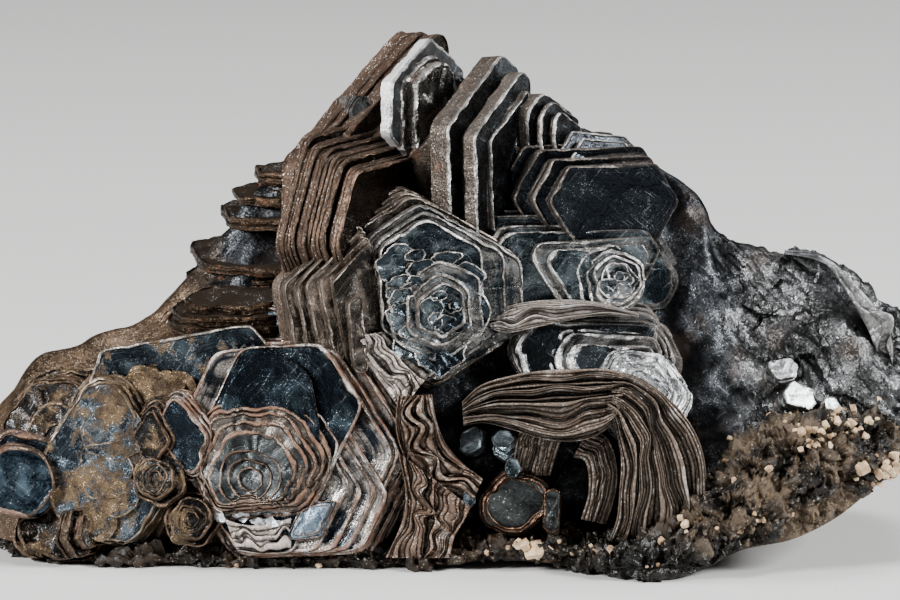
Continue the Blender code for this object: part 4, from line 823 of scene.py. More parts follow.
def petals(place, face, rows, seed, columns=96, thick=0.22, wave=0.10, corner=9, lumpy=0.04, edge=1.0):
    """Thin plates on a face, each a row of (right, up, level, reach, squash, turned, lean, leaning towards).
    An outline is a soft hexagon with ripples, and a lean lifts a point by tan(lean) times how far it lies in
    the direction leant away from."""
    random = np.random.default_rng(seed)
    middle, (own_right, own_up, normal) = seen(*place), facing(*face)
    right, up, level, size, squash, turned, lean, towards = np.array(rows, float).T[:, :, None, None]
    count = len(rows)
    turn = np.broadcast_to(np.linspace(0, 2 * np.pi, columns, endpoint=False), (count, columns))
    reach = plate_reach(turn - np.radians(turned[:, 0]), 0.0, np.ones(6), corner)
    reach = reach * (1 + wave * ripple(turn, 12.0, random))
    share, step = (np.array(column)[None, :, None] for column in zip(*PETAL_RINGS))
    lip_share = np.where(share > 0.9, 1 - (1 - share) * np.clip(2.4 / size, 0.6, 3.0), share)
    radius = size * reach[:, None, :] * lip_share
    across, upward = radius * np.cos(turn[:, None, :]), radius * squash * np.sin(turn[:, None, :])
    towards = np.radians(towards)
    tilt = -np.tan(np.radians(lean)) * (across * np.cos(towards) + upward * np.sin(towards))
    levels = level + tilt + thick * step * np.where(step < -0.5, 1.0, 0.6)
    across, upward = across + right, upward + up
    grid = middle + across[..., None] * own_right + upward[..., None] * own_up + levels[..., None] * normal
    grid = grid + lumpy * (mottled(grid, 0.8, seed + 3) + 0.6 * mottled(grid, 0.3, seed + 4))
    marks = np.zeros(grid.shape[:3] + (7,))
    marks[..., 0] = edge * np.array(PETAL_EDGES)[None, :, None]
    marks[..., 1] = (np.arange(len(PETAL_RINGS)) < 3)[None, :, None]
    marks[..., 2] = random.uniform(0, 1, (count, 1, 1))
    marks[..., 3] = 1
    marks[..., 4] = radius + thick * step
    marks[..., 5] = size * turn[:, None]
    marks[..., 6] = np.arange(count)[:, None, None] + seed
    return shells(grid, marks)


# Rims painted silver, a painted highlight, and faces with a painted sheen.
SILVER_EDGED = plate_finish(
    "silver-edged plates", (0.018, 0.025, 0.031), (0.68, 0.65, 0.61), (0.17, 0.135, 0.11),
    (0.055, 0.042, 0.034), rust=0.15, haze_and_sheen=(0.20, 0.245, 0.265), hazy_sheen=0.65, scratched=0.6, strip_sheen=0.7,
    strip=(0.24, 0.225, 0.21), rim_too=(0.86, 0.85, 0.83))
DIM_EDGED = plate_finish(
    "dim-edged plates", (0.010, 0.012, 0.015), (0.42, 0.37, 0.33), (0.10, 0.078, 0.065),
    (0.045, 0.035, 0.030), haze_and_sheen=(0.040, 0.050, 0.058), scratched=0.2, hazy_sheen=0.3)
BROWN_STEPS = plate_finish(
    "brown steps", (0.020, 0.018, 0.016), (0.46, 0.39, 0.33), (0.21, 0.155, 0.118), (0.105, 0.076, 0.057),
    haze_and_sheen=(0.15, 0.125, 0.105), sunk=0.7, hazy_sheen=0.9, strip_sheen=1.0, strip=(0.23, 0.18, 0.145), banded=0.7,
    wall_metal=0.75)
MIDDLE_FACE = (14, 6)
make_piece("middle_rose_steps", [plate_pile(
    (-1.2, 19.6, -6.0), MIDDLE_FACE, 0, (3.5, 4.05, 4.4, 3.5, 3.9, 4.3), -10.0,
    ((-7.0, (5.9, 5.6, 7.6, 7.2, 6.4, 6.2), 0, 0), (-6.0, (5.9, 5.5, 7.2, 6.6, 6.2, 6.2), 0, 0),
     (-5.0, (5.9, 5.5, 6.9, 6.1, 6.0, 6.2), 0, 0), (-4.0, (5.9, 5.4, 6.5, 5.5, 5.8, 6.2), 0, 0),
     (-3.0, (5.87, 5.3, 6.1, 4.9, 5.6, 6.2), 0, 0), (-2.2, (5.7, 5.2, 5.8, 4.4, 5.4, 6.0), 0, 0)),
    seed=77, columns=300, sheet=0.40, ragged=0.09, wave=0.012, rim=0.24, lip=0.08, corner=18, nick=0.25)],
    BROWN_STEPS)
make_piece("middle_rose", [
    plate_pile((-1.2, 19.6, -6.0), MIDDLE_FACE, 0, (3.5, 4.05, 4.4, 3.5, 3.9, 4.3), -2.25,
               ((-1.2, (6.5, 4.9, 5.2, 4.1, 5.1, 5.8), 0, 0), (-0.7, (5.2, 4.6, 4.7, 3.75, 4.5, 5.1), 0, 0),
                (0, 0, 0, 0)),
               seed=7, columns=300, sheet=0.42, ragged=0.07, wave=0.012, rim=0.27, lip=0.10, corner=18,
               nick=0.25),
    plate_pile((-0.7, 18.4, -6.2), MIDDLE_FACE, 3, (2.0, 2.2, 2.2, 2.4, 2.4, 2.2), -0.6,
               ((0.30, (2.9, 3.0, 2.9, 3.4, 3.3, 3.0), 0, 0), (0.55, 0, 0, 0), (0.78, -0.55, 0.1, 0)),
               seed=8, columns=220, sheet=0.3, ragged=0.08, wave=0.03, rim=0.28, lip=0.10, corner=14,
               nick=0.3, lumpy=0.06),
    petals((-0.7, 18.4, -6.2), MIDDLE_FACE, (
        (0.65, 0.3, 0.86, 0.62, 0.9, 10, 7, 100), (0.75, 0.25, 1.0, 0.30, 0.9, 10, 9, 20),
        (-0.6, 0.1, 0.84, 0.75, 0.85, 30, 9, 200), (0.2, -0.95, 0.84, 0.75, 0.8, 0, 8, 300),
        (-0.5, -0.7, 0.95, 0.5, 0.9, 20, 10, 30), (-2.2, -0.6, 0.40, 1.35, 0.85, 12, 9, 320),
        (-2.5, 0.7, 0.42, 1.0, 0.8, 30, 12, 340), (-2.3, 1.7, 0.30, 1.15, 0.6, 22, 13, 300),
        (-1.1, 2.6, 0.26, 1.2, 0.55, 35, 12, 260), (-2.7, 3.0, 0.05, 1.5, 0.8, 12, 6, 290),
        (1.9, 1.9, 0.20, 1.2, 0.8, 5, 8, 220), (2.3, -0.2, 0.25, 1.0, 1.3, 25, 8, 180),
        (-0.1, -2.8, 0.30, 1.8, 0.72, 5, 8, 100), (-2.0, -2.3, 0.15, 1.3, 0.6, 150, 9, 60),
        (-3.1, 1.2, 0.50, 0.6, 0.7, 40, 18, 320), (-2.9, 0.2, 0.52, 0.55, 0.8, 15, 20, 0),
        (-1.7, 1.9, 0.46, 0.6, 0.6, 30, 20, 250), (-2.2, -1.5, 0.50, 0.7, 0.7, 5, 16, 60),
        (0.5, 3.3, 0.10, 0.9, 0.5, 50, 14, 240), (-1.6, 3.6, 0.22, 0.7, 0.5, 20, 18, 280),
        (-0.2, 0.9, 0.95, 0.45, 0.8, 25, 14, 160), (1.2, -1.2, 0.70, 0.6, 0.7, 10, 14, 120)),
        seed=9, columns=90, thick=0.16, wave=0.15, corner=14, lumpy=0.14, edge=0.8)], SILVER_EDGED)
make_piece("middle_rose_left_steps", [
    plate_pile((-7.2, 17.2, -7.5), (22, 4), 10, (3.2, 8.0, 4.1, 2.75, 4.0, 2.6), -4.0,
               ((-1.8, (3.2, 8.0, 4.3, 2.85, 4.0, 2.6), 0, 0), (-1.35, (3.2, 8.0, 3.95, 2.2, 4.0, 2.6), 0, 0),
                (-0.9, (3.2, 7.8, 3.6, 1.6, 4.0, 2.6), 0, 0), (-0.45, (3.2, 7.5, 3.2, 0.8, 4.0, 2.6), 0, 0),
                (0, (3.2, 7.2, 2.8, 0.0, 4.0, 2.6), 0, 0)),
               seed=78, columns=240, sheet=0.3, ragged=0.06, wave=0.012, rim=0.26, lip=0.08, corner=16,
               nick=0.3, lumpy=0.03),
    plate_pile((-6.3, 17.4, -7.5), (22, 4), 4, (0.5, 2.2, 1.5, 0.5, 3.0, 3.0), -0.5, ((0.25, 0, 0, 0),),
               seed=79, columns=110, sheet=0.3, ragged=0.05, rim=0.22, corner=10)], BROWN_STEPS)
make_piece("middle_rose_chin", [plate_pile(
    (-1.5, 15.6, -6.3), (10, 2), 0, (1.8, 1.7, 1.7, 1.7, 1.5, 1.6), -3.0, ((-0.6, 0.3, 0, 0), (0, 0, 0, 0)),
    seed=9, columns=120, sheet=0.3, wave=0.02, rim=0.28)], SILVER_EDGED)

# ---------------------------------------------------------------------------------------------------------
# The plates right of the middle rose: broad blue-black faces with a painted sheen behind narrow steps whose
# rims are painted silvery as a painted highlight, and a small rosette. Below them the plates step down in
# striped treads whose rims are painted bright as a painted highlight, to one scratched plate whose face is
# painted near white as a painted reflection.
# ---------------------------------------------------------------------------------------------------------
GLITTER_SILVER = plate_finish(
    "glittering silver plates", (0.045, 0.055, 0.062), (0.80, 0.78, 0.76), (0.20, 0.17, 0.145),
    (0.06, 0.047, 0.040), haze_and_sheen=(0.27, 0.29, 0.30), hazy_sheen=0.9, grains=9000.0)
make_piece("upper_right_plates", [plate_pile(
    (10.7, 25.6, -1.5), (12, 2), 30, (4.0, 2.4, 3.7, 3.6, 3.4, 4.2), -9.0,
    ((-4.6, 1.5, -2.2, -0.2), (-3.3, 1.2, -1.6, -0.1), (-2.2, 0.9, -1.0, 0), (-1.1, 0.4, -0.5, 0),
     (0, 0, 0, 0)),
    seed=10, columns=240, sheet=0.55, ragged=0.07, rim=0.24, buried=-15)], DIM_EDGED)
make_piece("right_plates", [plate_pile(
    (9.3, 21.0, -2.2), (8, 8), 30, (4.7, 2.6, 6.2, 6.0, 2.4, 5.5), -8.0,
    ((-2.8, 1.7, -0.5, 0.2), (-2.1, 1.3, -0.3, 0.1), (-1.4, 1.0, -0.2, 0.1), (-0.7, 0.4, 0, 0), (0, 0, 0, 0)),
    seed=11, columns=300, sheet=0.5, ragged=0.09, wave=0.012, rim=0.26, lip=0.08, nick=0.35, corner=20,
    buried=-4)], SILVER_EDGED)
make_piece("right_inner_plate", [plate_pile(
    (9.6, 21.4, -2.65), (8, 8), 32, (4.2, 1.6, 4.0, 3.4, 3.6, 3.6), -1.0,
    ((0.15, 0.0, 0, 0), (0.35, (3.4, 1.1, 2.95, 2.7, 3.0, 3.0), 0, 0)),
    seed=12, columns=200, sheet=0.3, ragged=0.05, rim=0.30, corner=24, nick=0.3, buried=-40)], SILVER_EDGED)
RIGHT_ROSETTE = ((11.0, 20.3, -2.8), (8, 8))
make_piece("right_rosette", [
    plate_pile(*RIGHT_ROSETTE, 12, (2.2, 2.2, 2.3, 2.2, 2.3, 2.2), -1.0,
               ((0.1, 0.1, -0.3, 0), (0.3, -0.2, 0, 0), (0.5, -0.6, 0.1, 0)), seed=13, columns=180, sheet=0.3,
               wave=0.06, rim=0.30, lip=0.12, corner=6, nick=0.4, lumpy=0.09),
    petals(*RIGHT_ROSETTE, (
        (0.2, 0.1, 0.62, 1.2, 0.9, 30, 7, 200), (0.1, 0.6, 0.75, 0.8, 0.7, 10, 12, 120),
        (-0.5, -0.4, 0.72, 0.7, 0.9, 0, 10, 60), (0.5, 0.1, 0.85, 0.55, 0.8, 0, 14, 200),
        (0.4, -0.7, 0.66, 0.7, 0.7, 20, 10, 270), (0.1, 0.3, 0.95, 0.35, 0.9, 15, 12, 0)), seed=14,
        columns=72, thick=0.18, lumpy=0.1)], GLITTER_SILVER)
# Rims painted near white, a painted highlight, and bands of painted sheen.
BRIGHT_STEPPED = plate_finish(
    "bright stepped plates", (0.035, 0.041, 0.045), (0.97, 0.96, 0.94), (0.26, 0.22, 0.19),
    (0.09, 0.07, 0.055), scratched=0.8, sunk=0.85, strip_sheen=0.9, strip=(0.42, 0.40, 0.38))
make_piece("lower_steps", [
    plate_pile((7.9, 16.3, -4.6), (-4, 20), 28, (6.2, 1.9, 2.6, 3.6, 3.0, 5.0), -5.0,
               ((-1.5, (6.0, 3.1, 3.5, 4.0, 3.0, 5.0), 0, 0), (-1.25, (6.0, 2.7, 3.35, 3.95, 3.0, 5.0), 0, 0),
                (-1.0, (5.9, 2.35, 3.25, 3.9, 3.0, 5.0), 0, 0), (-0.7, (5.9, 2.0, 3.1, 3.85, 3.0, 5.0), 0, 0),
                (-0.35, (5.8, 1.6, 3.0, 3.75, 3.0, 5.0), 0, 0), (0, (5.7, 1.3, 2.8, 3.65, 3.0, 5.0), 0, 0)),
               seed=15, columns=260, sheet=0.35, ragged=0.10, wave=0.015, rim=0.48, lip=0.16, corner=12,
               nick=0.35, buried=-50),
    plate_pile((11.0, 15.3, -5.3), (-4, 22), 28, (3.0, 1.5, 3.6, 4.0, 2.4, 3.2), -5.0,
               ((-0.9, 0.9, 0, 0.2), (-0.45, 0.5, 0, 0.1), (-0.2, 0.25, 0, 0), (0, -0.1, 0, 0),
                (0.25, -0.75, 0.2, -0.1)),
               seed=16, columns=220, sheet=0.35, ragged=0.10, wave=0.02, rim=0.48, lip=0.16, corner=12,
               nick=0.35, buried=-50)], BRIGHT_STEPPED)
# A face painted pale grey-white, a painted reflection, under real scratches and growth stripes; its rims and
# walls are painted bright as painted highlights.
SCRATCHED_REFLECTION_WHITE = plate_finish(
    "scratched plate painted white as a reflection", (0.22, 0.23, 0.235), (0.98, 0.98, 0.98), (0.55, 0.55, 0.54), (0.30, 0.29, 0.28),
    haze_and_sheen=(0.55, 0.57, 0.58), hazy_sheen=0.8, wall_metal=0.8, face_rough=0.28, scratched=1.0, striped=1.0, sunk=0.9)
make_piece("bright_plate", [plate_pile(
    (13.3, 13.9, -7.2), (14, 34), 26, (1.9, 1.9, 2.7, 2.9, 3.0, 3.0), -4.3,
    ((-0.8, 0.35, 0, 0), (-0.5, 0.15, 0, 0), (-0.2, -0.15, 0, 0), (0.0, -0.75, -0.1, -0.1),
     (0.2, -1.25, -0.1, -0.3)),
    seed=17, columns=220, sheet=0.22, ragged=0.06, wave=0.02, rim=0.30, lip=0.10, corner=11, nick=0.3,
    lumpy=0.05)], SCRATCHED_REFLECTION_WHITE)

# ---------------------------------------------------------------------------------------------------------
# The front rose. The largest iron rose: blue-black outer plates with rust on their edges, grown one beside
# the other towards the lower right, and a heart of thin terraces round a small hollow.
# ---------------------------------------------------------------------------------------------------------
RUST_EDGED = plate_finish(
    "rust-edged plates", (0.011, 0.015, 0.020), (0.56, 0.43, 0.35), (0.20, 0.120, 0.080),
    (0.070, 0.042, 0.028), rust=0.6, haze_and_sheen=(0.055, 0.085, 0.105), sunk=0.6, strip_sheen=1.0,
    strip=(0.36, 0.32, 0.29), rim_too=(0.80, 0.77, 0.74))
# Terraces painted pale by a strong painted sheen.
FRONT_HEART = plate_finish(
    "terraces painted pale by sheen", (0.038, 0.042, 0.043), (0.50, 0.385, 0.305), (0.17, 0.110, 0.078), (0.060, 0.038, 0.026),
    rust=0.6, haze_and_sheen=(0.19, 0.205, 0.21), face_rough=0.28, hazy_sheen=0.8, strip_sheen=0.7, strip=(0.16, 0.115, 0.085),
    sunk=0.4, rim_too=(0.30, 0.20, 0.145))
make_piece("front_rose", [plate_pile(
    (-12.0, 8.5, -9.0), (-12, 10), 36, (7.4, 7.2, 5.9, 5.7, 6.5, 7.2), -9.0,
    ((-5.8, (8.0, 7.4, 6.5, 6.3, 6.8, 8.6), 0, 0), (-4.9, (7.6, 7.1, 6.1, 5.9, 6.5, 8.1), 0, 0),
     (-4.0, (8.2, 7.6, 6.5, 6.2, 6.8, 8.7), 0, 0), (-3.2, (7.9, 7.4, 6.2, 6.0, 6.5, 8.2), 0, 0),
     (-2.5, (8.4, 7.8, 6.5, 6.3, 6.8, 8.6), 0, 0), (-1.7, (8.15, 7.6, 6.4, 6.2, 6.7, 8.1), 0, 0),
     (-1.1, (7.4, 6.9, 6.2, 6.0, 6.6, 7.6), 0, 0), (-0.85, (7.0, 7.1, 5.4, 5.4, 6.4, 7.2), 0, 0),
     (-0.70, (5.2, 5.0, 5.0, 5.2, 6.5, 8.1), 0, 0), (-0.52, (4.7, 5.0, 5.0, 5.1, 6.45, 7.3), 0, 0),
     (-0.36, (3.9, 5.0, 5.0, 5.0, 6.4, 6.5), 0, 0), (-0.20, (3.5, 7.25, 6.5, 3.0, 6.3, 5.5), 0, 0),
     (0.0, (7.1, 7.3, 5.0, 5.3, 6.3, 4.1), 0, 0)),
    seed=18, columns=320, sheet=0.26, ragged=0.05, wave=0.005, rim=0.28, corner=26)], RUST_EDGED)
make_piece("front_rose_side_plates", [
    plate_pile((-17.75, 9.7, -9.0), (-20, 8), 44, (1.5, 2.9, 1.9, 1.4, 2.4, 1.6), -2.0,
               ((-0.8, 0.5, -0.1, 0), (-0.4, 0.2, 0, 0), (0, 0, 0, 0)),
               seed=35, columns=170, sheet=0.3, ragged=0.08, wave=0.02, rim=0.26, corner=8, nick=0.3,
               lumpy=0.05),
    plate_pile((-9.2, 9.6, -9.15), (-12, 10), 36, (1.5, 1.9, 1.1, 1.2, 2.4, 1.9), -0.5, ((0.22, 0, 0, 0),),
               seed=36, columns=140, sheet=0.3, ragged=0.06, wave=0.03, rim=0.24, corner=10),
    petals((-12.0, 10.9, -9.05), (-12, 10), ((0, 0, 0.05, 3.3, 1.32, 10, 0, 0),), seed=37, columns=160,
           thick=0.04, wave=0.05, corner=6, lumpy=0.0, edge=0.2)], RUST_EDGED)
make_piece("front_rose_heart", [plate_pile(
    (-13.1, 7.1, -9.1), (-12, 10), 36, (4.9, 4.5, 4.1, 2.8, 2.5, 4.1), -0.6,
    ((0.25, (5.45, 4.85, 4.95, 3.6, 2.6, 4.4), 0, 0), (0.50, (5.1, 4.6, 4.75, 3.35, 2.2, 4.1), 0, 0),
     (0.78, (4.5, 4.3, 4.2, 3.0, 2.0, 3.7), 0, 0), (1.02, (3.9, 3.8, 3.5, 2.7, 1.8, 3.2), 0, 0),
     (1.20, (3.2, 3.1, 2.8, 2.5, 1.65, 2.6), 0, 0)),
    seed=19, columns=280, sheet=0.30, ragged=0.10, wave=0.04, rim=0.28, lip=0.12, corner=11, nick=0.5,
    lumpy=0.11, bowl=((1.95, 1.02), (1.35, 0.80), (0.78, 0.50)))], FRONT_HEART)

# Faces painted pale grey-white, a painted reflection.
FLASHING = plate_finish(
    "flashing flats", (0.66, 0.69, 0.72), (0.84, 0.84, 0.84), (0.40, 0.38, 0.36), (0.15, 0.13, 0.11),
    haze_and_sheen=(0.22, 0.24, 0.25), hazy_sheen=0.8, wall_metal=0.6, face_rough=0.34, scratched=0.6)
make_piece("front_rose_flashes", [
    plate_pile((-15.85, 5.5, -9.3), (-26, 6), 33, (0.34, 1.3, 1.6, 0.34, 1.3, 1.6), -0.5, ((0.0, 0, 0, 0),),
               seed=38, columns=110, sheet=0.3, ragged=0.05, wave=0.06, rim=0.14, corner=9, nick=0.5,
               lumpy=0.06),
    petals((-12.4, 4.0, -10.1), (-12, 10), (
        (-1.5, 0.5, 0.05, 0.55, 0.6, 10, 16, 250), (-0.4, 0.2, 0.10, 0.5, 0.5, 30, 20, 280),
        (0.6, 0.3, 0.15, 0.55, 0.5, 15, 18, 300)), seed=40, columns=70, thick=0.15, wave=0.2, lumpy=0.16)],
        FLASHING)
# A facet painted blue-white, a painted reflection.
BLUE_WHITE_REFLECTION = plate_finish(
    "facet painted blue-white as a reflection", (0.16, 0.22, 0.28), (0.60, 0.52, 0.48), (0.20, 0.14, 0.11), (0.07, 0.05, 0.04),
    haze_and_sheen=(0.38, 0.46, 0.54), hazy_sheen=0.9, face_rough=0.3, rust=0.2, striped=1.0, scratched=0.6)
make_piece("front_rose_facet", [plate_pile(
    (-9.2, 4.3, -10.4), (-12, 12), 40, (2.2, 1.0, 0.95, 2.2, 1.0, 0.9), -0.6,
    ((0.1, 0.15, 0, 0), (0.28, -0.1, 0, 0)), seed=39, columns=130, sheet=0.3, ragged=0.05, wave=0.03,
    rim=0.16, corner=12, nick=0.3, lumpy=0.05)], BLUE_WHITE_REFLECTION)

# ---------------------------------------------------------------------------------------------------------
# The left end: ledges and plates under golden dust, a blue-black plate at the far end, and small rosettes
# tucked between them. Low lumps close it off at the foot.
# ---------------------------------------------------------------------------------------------------------
DUSTED = plate_finish(
    "dusted plates", (0.024, 0.032, 0.040), (0.46, 0.38, 0.30), (0.13, 0.086, 0.056), (0.05, 0.033, 0.022),
    wall_metal=0.7, dust=0.50, rust=0.3, haze_and_sheen=(0.12, 0.15, 0.17), hazy_sheen=0.7)
DULL_ROSETTES = plate_finish(
    "dull rosettes", (0.016, 0.013, 0.011), (0.20, 0.135, 0.09), (0.10, 0.063, 0.040), (0.040, 0.026, 0.017),
    wall_metal=0.75, dust=0.42, rust=0.3, hazy_sheen=0.2)
BROWN_SLABS = plate_finish(
    "dull brown slabs", (0.018, 0.012, 0.008), (0.105, 0.070, 0.046), (0.070, 0.045, 0.030),
    (0.034, 0.022, 0.014), wall_metal=0.75, rust=0.2, hazy_sheen=0.5, haze_and_sheen=(0.034, 0.023, 0.015), sugary=0.3,
    face_rough=0.9, face_metal=0.0, scratched=0.0, striped=0.0)
BROWN_SLABS.node_tree.nodes["Principled BSDF"].inputs["Specular IOR Level"].default_value = 0.08
LIGHTLY_DUSTED = plate_finish(
    "lightly dusted plates", (0.018, 0.024, 0.030), (0.80, 0.74, 0.67), (0.13, 0.086, 0.056),
    (0.050, 0.033, 0.022), wall_metal=0.7, dust=0.32, rust=0.3, haze_and_sheen=(0.10, 0.13, 0.15), sunk=0.7)
make_piece("upper_left_ledge", [plate_pile(
    (-18.5, 12.0, -5.5), (-8, 6), 41, (7.5, 4.4, 5.8, 5.4, 4.0, 6.0), -9.0,
    ((-4.0, -0.7, 0.3, -0.3), (-2.4, -0.5, 0.2, -0.2), (-1.0, -0.25, 0.1, -0.1), (0, 0, 0, 0)),
    seed=20, columns=240, sheet=0.4, rim=0.24, lumpy=0.04)], LIGHTLY_DUSTED)
make_piece("ledge_step", [plate_pile(
    (-14.2, 16.5, -3.6), (-12, 14), 36, (3.5, 1.9, 2.6, 2.8, 2.0, 3.0), -6.0,
    ((-0.8, 0.3, -0.2, 0.1), (-0.3, 0.1, 0, 0.05), (0, 0, 0, 0)),
    seed=21, columns=170, sheet=0.3, rim=0.3, ragged=0.1, wave=0.03, corner=14, lumpy=0.08)], LIGHTLY_DUSTED)
make_piece("ledge_back_slab", [plate_pile(
    (-14.0, 18.4, -1.0), (-10, 84), 34, (3.6, 2.6, 3.6, 4.2, 3.0, 3.4), -1.8,
    ((-0.4, 0.5, 0, 0), (0.3, 0.2, 0, 0), (0.9, -0.4, 0.2, 0)),
    seed=64, columns=150, sheet=0.4, ragged=0.12, wave=0.04, corner=10, lumpy=0.14)], BROWN_SLABS)
make_piece("ledge_dust", [plate_pile(
    (-19.4, 13.0, -5.75), (-8, 10), 20, (2.2, 1.3, 2.3, 2.4, 1.5, 2.0), -0.6,
    ((0.0, 0.2, 0, 0), (0.25, -0.5, 0, 0)), seed=65, columns=120, sheet=0.4, ragged=0.2, wave=0.08, rim=0.3,
    lip=0.0, corner=6, nick=0.5, lumpy=0.16)],
    plate_finish("settled dust", (0.12, 0.08, 0.045), (0.20, 0.135, 0.08), (0.12, 0.08, 0.045),
                 (0.06, 0.04, 0.023), wall_metal=0.7, dust=1.3))
make_piece("outer_left_plates", [plate_pile(
    (-26.2, 9.3, -4.5), (-24, 14), 36, (3.5, 4.4, 4.2, 4.0, 5.0, 4.0), -7.0,
    ((-2.4, 1.0, 0.2, 0.1), (-1.6, 0.6, 0, 0), (-0.8, 0.3, 0, 0), (0, 0, 0, 0), (0.5, -1.2, 0.6, -0.3),
     (0.9, -2.3, 1.0, -0.6)),
    seed=22, columns=220, sheet=0.4, ragged=0.12, wave=0.03, corner=9, nick=0.4, lumpy=0.12)], DULL_ROSETTES)
make_piece("dusted_plate", [plate_pile(
    (-22.9, 7.7, -8.0), (-14, 10), 30, (3.4, 5.8, 4.3, 4.4, 4.7, 4.2), -7.0,
    ((-2.4, 0.8, -0.2, 0), (-1.4, 0.4, 0, 0), (-0.5, 0.2, 0, 0), (0, 0, 0, 0)),
    seed=23, columns=240, sheet=0.4, ragged=0.08, wave=0.02, rim=0.26, corner=12, nick=0.3, lumpy=0.07),
    petals((-22.6, 8.2, -8.0), (-14, 10), (
        (0.1, 1.9, 0.05, 2.2, 0.8, 10, 2, 90), (-0.4, -0.6, 0.15, 2.0, 0.9, 40, 3, 80),
        (0.6, -2.2, 0.2, 1.5, 0.9, 0, 5, 120), (-0.6, -4.0, 0.15, 1.3, 0.9, 20, 6, 100)),
        seed=32, columns=90, thick=0.14, wave=0.1, lumpy=0.08)], DUSTED)
SPARKLING_BLUE = plate_finish(
    "sparkling blue plate", (0.014, 0.022, 0.032), (0.36, 0.26, 0.20), (0.18, 0.11, 0.075),
    (0.065, 0.04, 0.028), haze_and_sheen=(0.10, 0.15, 0.19), rust=0.4, grains=8000.0, hazy_sheen=0.9, sugary=0.6)
make_piece("far_left_plate", [plate_pile(
    (-28.8, 6.9, -8.2), (6, 6), 20, (2.3, 2.3, 2.3, 2.2, 2.3, 2.3), -6.0,
    ((-1.4, 0.5, 0.3, 0.2), (0, 0, 0, 0)), seed=24, columns=150, sheet=0.4, wave=0.02, rim=0.3, corner=10,
    lumpy=0.04)], SPARKLING_BLUE)
make_piece("small_rosettes", [
    plate_pile((-19.7, 7.1, -9.6), (-10, 16), 10, (1.3, 1.3, 1.3, 1.3, 1.3, 1.3), -4.0,
               ((-0.5, 0.4, 0.2, 0), (0, 0, 0, 0)), seed=25, columns=100, sheet=0.3, wave=0.07, corner=7,
               lumpy=0.07, bowl=((0.85, -0.1), (0.45, -0.25))),
    plate_pile((-17.3, 4.4, -9.8), (-6, 12), 25, (1.4, 1.4, 1.4, 1.4, 1.4, 1.4), -5.0,
               ((-0.6, 0.4, 0, 0), (0, 0, 0, 0)), seed=26, columns=100, sheet=0.3, wave=0.07, corner=7,
               lumpy=0.07, bowl=((0.9, -0.1), (0.5, -0.25))),
    plate_pile((-19.9, 9.6, -8.8), (-18, 6), 30, (1.1, 2.1, 1.2, 1.2, 2.2, 1.1), -4.0,
               ((-1.2, 0.9, 0.1, 0), (-0.8, 0.6, 0, 0), (-0.4, 0.3, 0, 0), (0, 0, 0, 0)),
               seed=27, columns=110, sheet=0.35, corner=10, wave=0.03, lumpy=0.06)], DULL_ROSETTES)
make_piece("low_left_lumps", [
    plate_pile((-26.3, 3.7, -7.6), (-10, 30), 15, (2.6, 1.6, 2.2, 2.6, 1.8, 2.4), -5.0,
               ((-0.7, 0.5, 0, 0), (0, 0, 0, 0)), seed=28, columns=120, sheet=0.35, ragged=0.1, wave=0.06,
               corner=6, lumpy=0.12),
    plate_pile((-24.2, 3.6, -8.2), (48, 14), 30, (1.6, 1.6, 1.7, 2.0, 1.6, 1.8), -1.0,
               ((0, 0, 0, 0), (0.6, -0.5, 0, 0)), seed=29, columns=110, sheet=0.3, lumpy=0.06)],
               DULL_ROSETTES)
make_piece("back_left_shelves", [
    plate_pile((-11.2, 26.3, 6.0), (-20, 86), 30, (3.0, 3.0, 3.2, 3.2, 3.0, 3.0), -12.0,
               ((-6.0, 3.2, 0, 0), (-4.6, 2.3, 0, 0), (-4.0, 2.9, 0, 0), (-1.9, -0.2, 0, 0),
                (-1.2, 0.8, 0, 0), (-0.5, -0.8, 0, 0), (0, 0, 0, 0), (1.6, -1.0, 0.5, 0)), seed=30,
               columns=150, sheet=0.35, ragged=0.12, wave=0.03, corner=12, lumpy=0.12),
    plate_pile((-16.0, 18.4, 2.4), (-30, 30), 36, (3.6, 2.2, 2.8, 3.0, 3.6, 4.0), -6.0,
               ((-1.8, 1.0, 0, 0), (-0.9, 0.5, 0, 0), (0, 0, 0, 0)), seed=31, columns=130, sheet=0.3,
               ragged=0.1)], BROWN_SLABS)

# ---------------------------------------------------------------------------------------------------------
# The bent books. Packs of thin leaves that were bent as they grew: the arched book over the small cavity, the
# leaves that hang inside it, and the books that sweep down beside the front rose. Dark brown, with painted
# shade on the leaf sides between the leaves and painted highlights along the leaf fronts, and grown fast to
# the mass behind.
# ---------------------------------------------------------------------------------------------------------
LEAF_PROFILE = ((0.02, 1.0), (0.0, 0.16), (0.10, 0.05), (0.32, 0.0), (0.68, 0.0), (0.90, 0.05), (1.0, 0.16),
                (0.98, 1.0))  # across a leaf, and from its front edge to its back


